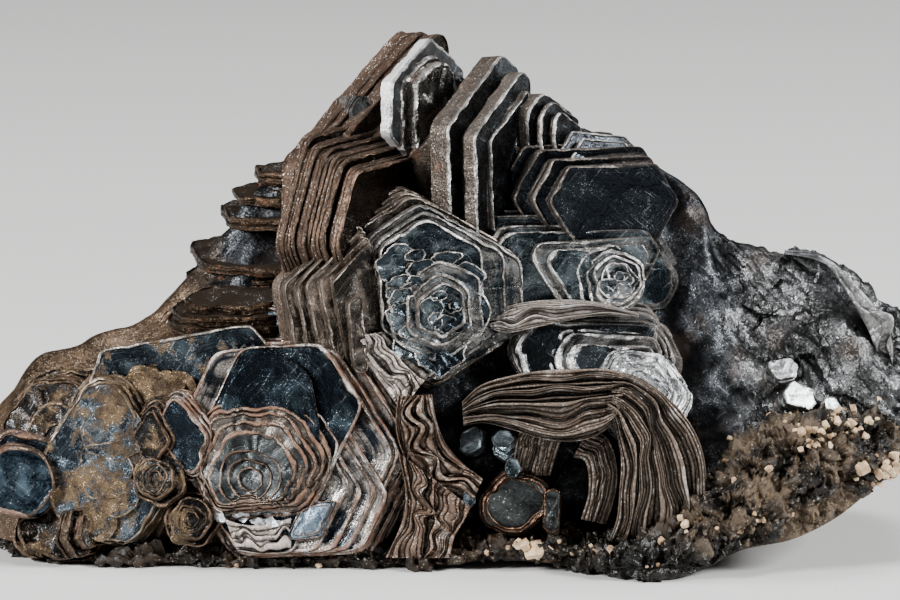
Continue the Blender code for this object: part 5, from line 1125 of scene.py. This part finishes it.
def leaf_pack(outer, inner, fronts, back, leaves, seed, steps=110, wander=0.5, stagger=0.22, feather=0.0):
    """Leaves packed from an outer line to an inner one. Leaf edges divide the space between the lines in
    uneven shares that wander by smooth noise along the way; each leaf is a rounded strip between two edges,
    and its front comes as far forward as `fronts` says, plus a random amount and noise along its length."""
    random = np.random.default_rng(seed)
    places = np.linspace(0, 1, steps)
    outer, inner = (smooth_along(np.array(line, float), places * (len(line) - 1)) for line in (outer, inner))
    shares = np.cumsum(np.concatenate([[0], random.uniform(0.25, 1.75, leaves)]))
    shares = (shares / shares[-1])[:, None] * np.ones(steps)
    spots = np.stack((places * 7 + 0 * shares, shares * 3.0, np.full(shares.shape, seed)), -1)
    wandering = wander / leaves * mottled(spots, 1.0, seed)[..., 0]
    shares = shares + wandering * np.sin(np.pi * np.clip(shares, 0, 1)) * 2
    start, end = shares[:-1], shares[1:]
    middle = 0.5 * (start + end)
    front = np.interp(middle.ravel(), np.linspace(0, 1, len(fronts)), fronts).reshape(middle.shape)
    front = front + random.normal(0, stagger, (leaves, 1))
    spots = np.stack((places * 9 + 0 * middle, np.arange(leaves)[:, None] * 5.1 + 0 * middle, 0 * middle), -1)
    front = front + 0.22 * mottled(spots, 1.0, seed + 1)[..., 0]
    front = front + 0.06 * mottled(spots, 0.17, seed + 2)[..., 0]
    ends = np.minimum(places, 1 - places)[None] * steps
    front = front + feather * np.exp(-ends / 4.0)
    across, depth = (np.array(column)[None, None, :] for column in zip(*LEAF_PROFILE))
    share = start[..., None] + (end - start)[..., None] * (across * 1.06 - 0.03)
    line = outer[None, :, None] + (inner - outer)[None, :, None] * share[..., None]
    far = front[..., None] + (back - front)[..., None] * np.where(depth > 0.5, 1.0, 0.0)
    far = far + np.where(depth > 0.5, 0.0, depth) * 0.9
    grid = seen(line[..., 0], line[..., 1], far)
    marks = np.zeros(grid.shape[:3] + (4,))
    marks[..., 0] = np.clip(1 - depth / 0.1, 0, 1)
    marks[..., 1] = places[None, :, None]
    marks[..., 2] = random.uniform(0, 1, (leaves, 1, 1))
    marks[..., 3] = np.clip((front[..., None] - np.min(fronts)) / 2.0, 0, 1)
    return shells(grid, marks)


def leaf_finish(name, dark, ridge, gleam, rough=0.34):
    """Leaf edges: each leaf's front in its own paler brown, the leaf sides between the leaves painted dark
    brown as painted shade, and short dashes and specks painted bright as painted highlights and glints.
    """
    made, tree, shader, spot = new_finish(name)
    parts = growth_parts(tree)
    patches = cloudy(tree, spot, 620.0, 4.0, 0.6)
    fine = cloudy(tree, spot, 4200.0, 3.0, 0.7)
    specks = glitter(tree, 14000.0, 0.9, 0.06)
    # The leaf sides that run back between the leaves keep the dark colour, a painted shade; the fronts take
    # the ridge colour.
    front = times(tree, parts[0], fade(tree, fine, 0.20, 0.60))
    colour = blend(tree, front, dark, ridge)
    tinted = blend(tree, parts[2], tuple(0.55 * part for part in ridge), tuple(1.35 * part for part in ridge))
    colour = blend(tree, times(tree, front, 0.6), colour, tinted)
    # Painted highlights: bright dashes along the leaf fronts.
    shining = times(tree, fade(tree, patches, 0.56, 0.72), parts[0])
    colour = blend(tree, times(tree, shining, 0.7), colour, gleam)
    # Painted glints.
    colour = blend(tree, times(tree, specks["Flash"], 0.6), colour, (0.55, 0.50, 0.46))
    tree.links.new(colour, shader.inputs["Base Color"])
    tree.links.new(between(tree, shining, 0.30, 0.85), shader.inputs["Metallic"])
    tree.links.new(between(tree, fine, rough - 0.1, rough + 0.22), shader.inputs["Roughness"])
    calm = add(tree, "ShaderNodeNewGeometry").outputs["Normal"]
    normal = swing(tree, 0.6, specks["Normal"], calm)
    bump = add(tree, "ShaderNodeBump", {"Height": fine, "Normal": normal, "Strength": 0.5,
                                        "Distance": 0.00007})
    tree.links.new(bump.outputs[0], shader.inputs["Normal"])
    return made


BROWN_LEAVES = leaf_finish(
    "brown leaf edges", (0.038, 0.028, 0.021), (0.150, 0.112, 0.086), (0.58, 0.54, 0.50), rough=0.28)
GREY_LEAVES = leaf_finish(
    "grey leaf edges", (0.030, 0.019, 0.013), (0.155, 0.100, 0.070), (0.58, 0.51, 0.45), rough=0.28)
# Leaf fronts painted silvery, a painted highlight.
SILVERY_LEAVES = leaf_finish(
    "silvery leaf edges", (0.040, 0.031, 0.026), (0.44, 0.385, 0.34), (0.95, 0.93, 0.90), rough=0.28)
make_piece("arched_book", [
    leaf_pack(((0.8, 12.2), (2.0, 13.3), (3.8, 13.9), (6.2, 14.3), (8.7, 14.4), (10.5, 14.4), (11.8, 14.0)),
              ((0.9, 10.6), (2.3, 10.8), (4.3, 10.3), (6.3, 9.7), (8.6, 9.6), (10.2, 10.2), (11.2, 11.3)),
              (-10.3, -10.9, -10.6, -11.3, -10.8, -11.4, -10.9), -3.0, leaves=30, seed=41, steps=120,
              wander=2.2, stagger=0.42),
    leaf_pack(((11.0, 14.3), (12.7, 13.8), (14.5, 12.5), (16.0, 10.8), (16.9, 8.7), (17.2, 5.7), (17.3, 2.7)),
              ((10.3, 11.6), (10.9, 10.8), (11.2, 9.6), (11.4, 8.2), (11.3, 6.4), (11.1, 4.4), (10.5, 2.7)),
              (-10.6, -11.0, -11.4, -11.3, -11.5, -11.2, -11.0, -10.6), -3.0, leaves=34, seed=48, steps=140,
              wander=2.2, stagger=0.42, feather=1.6)], BROWN_LEAVES, crease=50)
make_piece("inner_leaves", [
    leaf_pack(((8.1, 11.0), (7.3, 9.3), (6.7, 7.3)), ((4.9, 11.1), (4.4, 9.4), (4.1, 7.2)),
              (-7.8, -8.7, -8.1, -8.5), -3.2, leaves=15, seed=42, steps=50, feather=0.5),
    leaf_pack(((9.2, 10.4), (10.5, 9.8), (11.1, 8.2), (11.1, 6.2), (10.4, 4.0)),
              ((8.2, 8.5), (8.9, 8.3), (9.2, 7.5), (9.2, 6.0), (8.7, 4.4)),
              (-8.3, -9.2, -8.8), -3.1, leaves=12, seed=43, steps=70)], BROWN_LEAVES, crease=50)
make_piece("swept_books", [
    leaf_pack(((-3.5, 12.6), (-3.6, 10.3), (-2.9, 8.3), (-1.2, 6.4), (1.4, 5.3)),
              ((-1.2, 12.7), (-0.9, 11.0), (-0.2, 9.3), (1.0, 8.0), (2.2, 7.1)),
              (-9.0, -9.55, -9.05, -9.75, -9.25, -9.65), -2.05, leaves=16, seed=44, steps=90, wander=2.2,
              stagger=0.35),
    leaf_pack(((-3.5, 8.9), (-3.0, 6.4), (-3.2, 4.3), (-4.3, 1.8)),
              ((1.4, 5.2), (0.9, 4.2), (0.3, 3.2), (0.0, 1.8)), (-9.85, -10.35, -9.6, -10.15, -9.45), -2.15,
              leaves=18, seed=45, steps=80, wander=2.2, stagger=0.35)], GREY_LEAVES, crease=50)
make_piece("slanting_leaves", [
    leaf_pack(((-7.0, 16.4), (-5.0, 14.0), (-3.3, 11.6)), ((-4.5, 16.9), (-3.0, 15.3), (-1.4, 14.0)),
              (-7.83, -7.26, -7.77, -6.94), -1.1, leaves=11, seed=46, steps=60, wander=1.4, stagger=0.3),
    leaf_pack(((2.6, 17.7), (3.9, 18.6), (6.4, 19.0), (9.6, 18.9), (12.6, 18.1)),
              ((2.7, 17.1), (3.9, 16.8), (6.4, 17.3), (9.6, 17.9), (12.6, 17.8)),
              (-4.2, -4.9, -5.4), -2.0, leaves=13, seed=49, steps=90, wander=1.6, stagger=0.4),
    leaf_pack(((-16.85, 7.6), (-16.3, 5.6), (-14.6, 3.8)), ((-15.9, 7.6), (-15.35, 5.9), (-13.9, 4.5)),
              (-9.35, -9.5), -8.2, leaves=4, seed=50, steps=60, wander=1.4, stagger=0.15),
    leaf_pack(((-15.0, 4.4), (-13.6, 4.0), (-12.0, 4.1), (-10.6, 4.5)),
              ((-14.2, 2.3), (-12.9, 2.1), (-11.6, 2.1), (-10.6, 2.2)),
              (-10.05, -10.35, -10.2), -8.4, leaves=8, seed=52, steps=40, wander=0.9, stagger=0.2)],
    SILVERY_LEAVES, crease=50)

# ---------------------------------------------------------------------------------------------------------
# The cavity under the arched book: a hexagonal crystal with a brown rim and a sparkling face, a short brown
# prism beside it, and small blue-white buds. They grew last, in the shelter of the bent leaves.
# ---------------------------------------------------------------------------------------------------------
SPARKLING = plate_finish(
    "sparkling cavity crystals", (0.030, 0.034, 0.034), (0.24, 0.135, 0.085), (0.13, 0.078, 0.05),
    (0.05, 0.03, 0.02), haze_and_sheen=(0.105, 0.115, 0.11), grains=8000.0, face_rough=0.28, hazy_sheen=0.8)
BUDS = plate_finish(
    "blue-white buds", (0.075, 0.100, 0.110), (0.42, 0.47, 0.50), (0.11, 0.13, 0.135), (0.04, 0.045, 0.045),
    haze_and_sheen=(0.34, 0.41, 0.45), hazy_sheen=0.9, wall_metal=0.7, face_rough=0.24)
make_piece("cavity_crystals", [
    plate_pile((4.3, 5.4, -9.2), (2, 6), 12, (2.2, 1.9, 1.8, 2.1, 1.9, 1.8), -4.0,
               ((-0.4, 0.2, 0, 0), (0, 0, 0, 0)), seed=51, columns=150, sheet=0.4, wave=0.03, rim=0.22,
               lip=0.12, corner=9, lumpy=0.05, bowl=((1.75, -0.3),)),
    plate_pile((6.8, 5.0, -9.6), (-4, 20), 0, (0.5, 1.3, 1.3, 0.5, 1.3, 1.3), -4.0, ((0, 0, 0, 0),),
               seed=52, columns=80, sheet=0.5, rim=0.12)], SPARKLING)
make_piece("cavity_buds", [
    plate_pile((3.7, 9.5, -8.0), (-20, 30), 20, (0.9, 0.7, 0.8, 0.9, 0.9, 0.8), -3.5,
               ((-0.3, 0.1, 0, 0), (0, -0.2, 0, 0)), seed=53, columns=90, sheet=0.4, rim=0.10, wave=0.04,
               corner=16, nick=0.3, lumpy=0.12),
    plate_pile((1.4, 9.7, -7.4), (-10, 20), 0, (0.7, 1.0, 0.8, 0.7, 1.0, 0.8), -3.5, ((0, 0, 0, 0),),
               seed=54, columns=90, sheet=0.4, rim=0.10, wave=0.04, corner=16, lumpy=0.12),
    petals((4.3, 5.4, -9.2), (2, 6), (
        (-3.0, 0.4, 0.1, 0.45, 1.4, 10, 8, 0), (-0.1, 2.4, 0.2, 0.5, 1.3, 20, 10, 90),
        (-0.8, 4.4, 1.2, 0.7, 0.8, 30, 12, 60)), seed=55, columns=40, thick=0.4, wave=0.04)], BUDS)

# ---------------------------------------------------------------------------------------------------------
# The flats of the broken end: cleavage faces painted white or pewter as painted reflections where they flash,
# and the bent ridge along the upper right, painted bright the same way. They are the same hematite, broken
# and not grown, so their outlines are ragged.
# ---------------------------------------------------------------------------------------------------------
RAGGED = dict(sheet=0.5, ragged=0.12, wave=0.03, rim=0.10, lip=0.0, corner=18, nick=0.5, lumpy=0.07)
# Cleavage faces painted pale grey, a painted reflection.
FLAT_CLEAVAGE = plate_finish(
    "flat cleavage", (0.30, 0.31, 0.32), (0.70, 0.70, 0.70), (0.12, 0.115, 0.11), (0.05, 0.047, 0.045),
    haze_and_sheen=(0.66, 0.68, 0.70), hazy_sheen=0.9, wall_metal=0.7, face_rough=0.30, scratched=0.8)
make_piece("flashing_flats", [
    plate_pile((23.4, 12.7, -6.9), (26, 30), 8, (1.0, 0.9, 1.0, 1.2, 0.9, 1.3), -4.0, ((0, 0, 0, 0),),
               seed=61, columns=110, **RAGGED),
    plate_pile((25.4, 11.6, -7.0), (34, 24), 20, (0.9, 1.0, 0.8, 0.9, 1.5, 0.9), -4.0, ((0, 0, 0, 0),),
               seed=62, columns=110, **RAGGED),
    plate_pile((22.3, 14.5, -5.9), (16, 36), 40, (0.9, 0.6, 1.1, 1.0, 0.8, 0.9), -4.0, ((0, 0, 0, 0),),
               seed=63, columns=90, **RAGGED)], FLAT_CLEAVAGE)
make_piece("bright_ridge", [
    leaf_pack(((22.3, 22.35), (24.0, 22.15), (25.4, 21.6), (26.4, 20.7), (27.8, 19.2), (29.0, 17.6),
               (29.5, 16.0), (29.5, 14.6)),
              ((22.3, 22.05), (24.0, 21.8), (25.3, 21.2), (26.0, 20.2), (27.0, 18.6), (27.9, 17.0),
               (28.4, 15.6), (29.0, 14.3)), (-2.9, -2.5, -3.1), 3.0, leaves=3, seed=47, steps=240, wander=1.4,
               stagger=0.12)],
    FLASHING, crease=50)

# ---------------------------------------------------------------------------------------------------------
# The back of the cluster: duller plate piles of the same growth, less well formed and half buried in the
# mass, as on a specimen that was broken off the wall of its pocket.
# ---------------------------------------------------------------------------------------------------------
BACK_PLATES = plate_finish(
    "back plates", (0.030, 0.033, 0.038), (0.30, 0.27, 0.24), (0.13, 0.10, 0.08), (0.06, 0.045, 0.035),
    wall_metal=0.5, rust=0.35, dust=0.1)
for name, place, face, spin, sides, base, plates, seed in (
    ("back_rose", (-6.5, 20.0, 12.0), (168, 8), 24, (5.4, 5.0, 5.6, 5.2, 5.4, 5.0), -9.0,
     ((-3.2, 1.6, 0.6, 0), (-1.8, 0.9, 0.2, 0), (-0.8, 0.4, 0, 0), (0, 0, 0, 0), (0.6, -2.0, 0.3, -0.4)), 71),
    ("back_upper_plates", (1.2, 28.4, 8.5), (186, 16), 0, (3.8, 4.4, 3.6, 3.8, 4.4, 4.0), -7.0,
     ((-2.4, 1.2, 0, 0), (-1.2, 0.6, 0.2, 0), (0, 0, 0, 0)), 72),
    ("back_left_plates", (-17.5, 14.2, 10.0), (204, 14), 36, (4.4, 3.6, 4.2, 4.6, 3.8, 4.4), -8.0,
     ((-2.6, 1.3, 0, 0.2), (-1.2, 0.6, 0, 0), (0, 0, 0, 0)), 73),
    ("back_right_plates", (8.5, 17.6, 12.4), (150, 12), 12, (4.8, 4.2, 4.4, 4.8, 4.4, 4.2), -8.0,
     ((-2.6, 1.4, 0, 0.2), (-1.3, 0.7, 0, 0), (0, 0, 0, 0)), 74),
    ("back_low_rose", (-3.0, 9.0, 12.6), (188, 4), 18, (3.2, 3.0, 3.2, 3.0, 3.2, 3.0), -6.0,
     ((-1.2, 0.8, 0, 0), (0, 0, 0, 0), (0.5, -1.2, 0, 0)), 75),
    ("back_end_plate", (19.5, 13.4, 9.6), (146, 20), 30, (3.4, 2.8, 3.0, 3.4, 3.0, 3.2), -7.0,
     ((-1.2, 0.8, 0, 0), (0, 0, 0, 0)), 76),
):
    make_piece(name, [plate_pile(place, face, spin, sides, base, plates, seed=seed, columns=150, sheet=0.4,
                                 ragged=0.08, wave=0.01)], BACK_PLATES)

# ---------------------------------------------------------------------------------------------------------
# The host rock. A broken slab of dark brown, iron-stained rock, full of pale blocky grains where it shows at
# the lower right. The hematite grew on it, and its flat underside is what the specimen stands on.
# ---------------------------------------------------------------------------------------------------------
# From the left end to the right one: how far right, the front edge, the back edge, the top in front, the top
# at the back, and the underside.
ROCK_STATIONS = (
    (-30.2, -2.6, 4.4, 0.9, 1.2, 0.0), (-27.6, -6.8, 8.0, 1.2, 2.0, 0.0), (-22.0, -8.6, 10.2, 1.3, 2.6, 0.0),
    (-15.0, -9.2, 11.6, 1.2, 3.0, 0.0), (-8.0, -9.4, 12.4, 1.2, 3.2, 0.0), (-1.2, -9.8, 13.0, 1.4, 3.4, 0.0),
    (2.0, -10.0, 13.2, 1.8, 3.4, 0.5), (6.0, -10.4, 13.2, 2.1, 3.4, 0.5), (9.6, -11.2, 13.0, 2.3, 3.4, 0.0),
    (11.4, -13.2, 12.8, 2.6, 3.4, 0.0), (14.2, -13.6, 12.4, 3.2, 3.6, 0.0),
    (16.6, -12.4, 12.2, 5.4, 3.8, 0.5), (19.2, -12.0, 11.8, 8.6, 4.6, 1.7),
    (22.4, -11.6, 11.2, 9.8, 5.4, 2.3), (25.4, -10.6, 10.2, 10.2, 6.4, 3.6), (28.2, -9.0, 8.6, 9.8, 7.6, 5.5),
    (30.9, -5.8, 5.0, 8.6, 8.0, 6.6),
)
ROCK_COLUMNS, ROCK_RINGS = 420, 150  # along the rock, and up round it from its underside
GRAIN_COUNT = 300
# Where the grains lie: how far right, how high, the reach each way, and how thickly.
GRAIN_BEDS = ((24.5, 9.6, 3.0, 1.0, 1.0), (28.6, 6.2, 2.0, 1.1, 0.8), (17.3, 8.2, 1.4, 1.0, 0.7),
              (21.0, 4.0, 2.4, 1.4, 0.35), (14.0, 4.6, 2.0, 1.4, 0.2), (7.5, 1.7, 3.4, 0.5, 0.3),
              (-0.7, 1.4, 1.2, 0.6, 0.5))
LOBE = (13.2, 1.2, 4.2, 2.0)  # the dark glassy lobe low in front: its middle, right and up, and its reach


def rock_surface():
    """Smooth curves through the stations' outlines, then pushed along the normals by facets and by noise;
    the points of the flat underside stay where they are."""
    controls = []
    for right, front, back, front_top, back_top, under in ROCK_STATIONS:
        waist = under + 0.5 * (front_top - under)
        base = [(right, front + 0.9, under), (right, back - 0.9, under)]
        upper = [(right, back, under + 0.5 * (back_top - under)), (right, back - 0.8, back_top),
                 (right, 0.5 * (front + back), 0.5 * (front_top + back_top)), (right, front + 2.2, front_top),
                 (right, front, waist)]
        amount = min(0.9, 0.35 * (front_top - under))
        upper = [Vector(point) + noise.noise_vector(Vector(point) / 2.3) * amount for point in upper]
        controls.append([*base, *upper, base[0]])
    controls = np.array(controls)
    grid = smooth_along(controls, np.linspace(0, len(controls) - 1, ROCK_COLUMNS))
    rings = np.concatenate([np.linspace(0, 1, 10, endpoint=False),
                            np.linspace(1, 7, ROCK_RINGS, endpoint=False)])
    grid = np.swapaxes(smooth_along(np.swapaxes(grid, 0, 1), rings), 0, 1)
    free = np.ones(len(rings))
    free[:11] = 0.0
    free[-6:] = np.linspace(1, 0.1, 6)
    rough = 0.5 * mottled(grid, 1.6, 91) + 0.25 * mottled(grid, 0.7, 92)
    depth = 0.5 * chipped(grid, 1.8, 93, 0.9) + 0.7 * chipped(grid, 0.8, 94, 0.9)
    depth += 0.6 * chipped(grid, 0.4, 95, 0.9)
    grid = grid + free[None, :, None] * (0.5 * rough + outward(grid) * depth[..., None])
    marks = np.zeros(grid.shape[:2] + (4,))
    lobe_right, lobe_up, reach_right, reach_up = LOBE
    apart = ((grid[..., 0] - lobe_right) / reach_right) ** 2 + ((grid[..., 2] - lobe_up) / reach_up) ** 2
    marks[..., 0] = np.clip(1.6 - 1.2 * apart, 0, 1) * (grid[..., 1] < 0)
    marks[..., 1] = np.clip(depth + 0.5, 0, 1)
    return grid, shells(grid[None], marks[None])


def rock_finish():
    """Iron-stained rock: near black to dark brown, with rusty films, pale crumbs, and a dark glassy lobe."""
    made, tree, shader, spot = new_finish("iron-stained rock")
    lobe = growth_parts(tree)[0]
    patches = cloudy(tree, spot, 380.0, 6.0, 0.65)
    fine = cloudy(tree, spot, 3600.0, 4.0, 0.7)
    crumbs = glitter(tree, 2600.0, 0.6, 0.08)
    specks = glitter(tree, 9000.0, 1.2, 0.05)
    bare = calc(tree, "SUBTRACT", 1.0, lobe)
    colour = blend(tree, fade(tree, patches, 0.40, 0.64), (0.005, 0.004, 0.003), (0.028, 0.017, 0.010))
    right_end = fade(tree, add(tree, "ShaderNodeSeparateXYZ", {"Vector": spot}).outputs[0], 0.012, 0.019)
    colour = blend(tree, times(tree, right_end, fade(tree, patches, 0.42, 0.62)), colour,
                   (0.095, 0.068, 0.044))
    colour = blend(tree, fade(tree, fine, 0.56, 0.82), colour, (0.10, 0.064, 0.036))
    pale = times(tree, crumbs["Flash"], fade(tree, patches, 0.46, 0.62))
    colour = blend(tree, pale, colour, (0.13, 0.088, 0.050))
    # Painted glints: specks on the bare rock painted pale.
    colour = blend(tree, times(tree, specks["Flash"], times(tree, bare, 0.45)), colour, (0.45, 0.38, 0.28))
    colour = blend(tree, times(tree, lobe, 0.9), colour, (0.007, 0.007, 0.006))
    tree.links.new(colour, shader.inputs["Base Color"])
    rough = between(tree, fade(tree, patches, 0.35, 0.65), 0.30, 0.65)
    tree.links.new(between(tree, lobe, rough, 0.16), shader.inputs["Roughness"])
    shader.inputs["Specular IOR Level"].default_value = 0.28
    bump = add(tree, "ShaderNodeBump", {"Height": fine, "Normal": crumbs["Normal"], "Strength": 0.7,
                                        "Distance": 0.0001})
    tree.links.new(bump.outputs[0], shader.inputs["Normal"])
    return made


def grain_finish():
    """Pale beige mineral grains, waxy on their flats, each in a tone of its own from brown to pale beige,
    with brown stains in patches.
    """
    made, tree, shader, spot = new_finish("pale beige grains")
    parts = growth_parts(tree)
    fine = cloudy(tree, spot, 2600.0, 5.0, 0.65)
    stain = cloudy(tree, spot, 700.0, 4.0)
    colour = blend(tree, parts[2], (0.34, 0.215, 0.115), (0.74, 0.56, 0.36))
    colour = blend(tree, fade(tree, fine, 0.45, 0.7), colour, (0.62, 0.46, 0.29))
    colour = blend(tree, fade(tree, stain, 0.5, 0.66), colour, (0.16, 0.09, 0.045))
    tree.links.new(colour, shader.inputs["Base Color"])
    tree.links.new(between(tree, fine, 0.28, 0.62), shader.inputs["Roughness"])
    shader.inputs["Subsurface Weight"].default_value = 0.15
    shader.inputs["Subsurface Scale"].default_value = 0.0004
    bump = add(tree, "ShaderNodeBump", {"Height": fine, "Strength": 0.6, "Distance": 0.00008})
    tree.links.new(bump.outputs[0], shader.inputs["Normal"])
    return made


def pale_grains(grid):
    """Small blocks: each a five-sided prism with its ends bevelled, squashed and turned its own way and
    sunk by about half into the rock's surface, most of them where the rock shows at the lower right."""
    random = np.random.default_rng(96)
    front = grid[:, 10:]
    spots = front.reshape(-1, 3)
    away = outward(front).reshape(-1, 3)
    weight = np.full(len(spots), 0.012)
    for right, up, reach_right, reach_up, thickly in GRAIN_BEDS:
        apart = ((spots[:, 0] - right) / reach_right) ** 2 + ((spots[:, 2] - up) / reach_up) ** 2
        weight += thickly * np.exp(-apart)
    patchy = 0.15 + np.clip(mottled(spots, 1.6, 97)[:, 0] + 0.2, 0, 1)
    weight *= np.where(spots[:, 1] < 0, 1.0, 0.3) * patchy
    chosen = random.choice(len(spots), GRAIN_COUNT, replace=False, p=weight / weight.sum())
    size = random.lognormal(-1.45, 0.42, (GRAIN_COUNT, 1, 1, 1))
    turn = np.linspace(0, 2 * np.pi, 5, endpoint=False) + random.uniform(-0.35, 0.35, (GRAIN_COUNT, 1, 5))
    radius = np.array((0.7, 1.0, 1.0, 0.72))[None, :, None] * random.uniform(0.8, 1.15, (GRAIN_COUNT, 4, 5))
    level = np.array((-0.75, -0.5, 0.55, 0.75))[None, :, None]
    level = level + random.uniform(-0.1, 0.1, (GRAIN_COUNT, 4, 5))
    local = np.stack((radius * np.cos(turn), radius * np.sin(turn), level + 0 * radius), -1)
    local = local * random.uniform(0.6, 1.2, (GRAIN_COUNT, 1, 1, 3)) * size
    first = random.normal(0, 1, (GRAIN_COUNT, 3))
    first /= np.linalg.norm(first, axis=1, keepdims=True)
    second = np.cross(first, random.normal(0, 1, (GRAIN_COUNT, 3)))
    second /= np.linalg.norm(second, axis=1, keepdims=True)
    axes = np.stack((first, second, np.cross(first, second)), 1)
    blocks = np.einsum("krnj,kji->krni", local, axes)
    blocks += (spots[chosen] + away[chosen] * 0.15 * size[:, 0, 0])[:, None, None]
    marks = np.zeros(blocks.shape[:3] + (4,))
    marks[..., 2] = random.uniform(0, 1, (GRAIN_COUNT, 1, 1))
    return shells(blocks, marks)


rock_grid, rock_shell = rock_surface()
make_piece("host_rock", [rock_shell], rock_finish(), crease=25, node="rock_matrix")
make_piece("pale_grains", [pale_grains(rock_grid)], grain_finish(), crease=15,
           node="rock_matrix")

# ---------------------------------------------------------------------------------------------------------
# The table, the lights and the camera: a plain pale floor, two large soft lamps at the sides, a softer one
# above and behind, and a long lens ten degrees above the level.
# ---------------------------------------------------------------------------------------------------------
FLOOR_REACH = 0.9
floor_mesh = bpy.data.meshes.new("floor")
floor_corners = [(x * FLOOR_REACH, y * FLOOR_REACH, 0) for x, y in ((-1, -1), (1, -1), (1, 1), (-1, 1))]
floor_mesh.from_pydata(floor_corners, [], [(0, 1, 2, 3)])
floor = bpy.data.objects.new("floor", floor_mesh)
bpy.context.scene.collection.objects.link(floor)
paper, _, paper_shader, _ = new_finish("pale paper")
paper_shader.inputs["Base Color"].default_value = (0.62, 0.62, 0.61, 1)
paper_shader.inputs["Roughness"].default_value = 0.9
floor_mesh.materials.append(paper)

TARGET = Vector(TO_ORIGIN + np.array((0, 0, EYE_LEVEL))) * MM


def soft_light(name, place, size, power):
    """A square lamp so large (metres), aimed at the specimen."""
    lamp = bpy.data.lights.new(name, "AREA")
    lamp.shape, lamp.size, lamp.energy = "SQUARE", size, power
    made = bpy.data.objects.new(name, lamp)
    made.location = place
    made.rotation_euler = (TARGET - Vector(place)).to_track_quat("-Z", "Y").to_euler()
    bpy.context.scene.collection.objects.link(made)


soft_light("left_lamp", (-0.38, -0.24, 0.24), 0.14, 5.0)
soft_light("right_lamp", (0.40, -0.18, 0.26), 0.14, 5.0)
soft_light("top_lamp", (0.02, 0.10, 0.50), 0.24, 1.8)

world = bpy.data.worlds.new("studio")
world.use_nodes = True
world.node_tree.nodes["Background"].inputs["Color"].default_value = (0.20, 0.205, 0.21, 1)
world.node_tree.nodes["Background"].inputs["Strength"].default_value = 0.28
bpy.context.scene.world = world

lens = bpy.data.cameras.new("camera")
lens.sensor_width, lens.lens = 36, 252
lens.clip_start, lens.clip_end = 0.01, 10
camera = bpy.data.objects.new("camera", lens)
back = Vector((0, -math.cos(EYE_ELEVATION), math.sin(EYE_ELEVATION)))
camera.location = TARGET + back * EYE_DISTANCE * MM
camera.rotation_euler = back.to_track_quat("Z", "Y").to_euler()
bpy.context.scene.collection.objects.link(camera)
bpy.context.scene.camera = camera
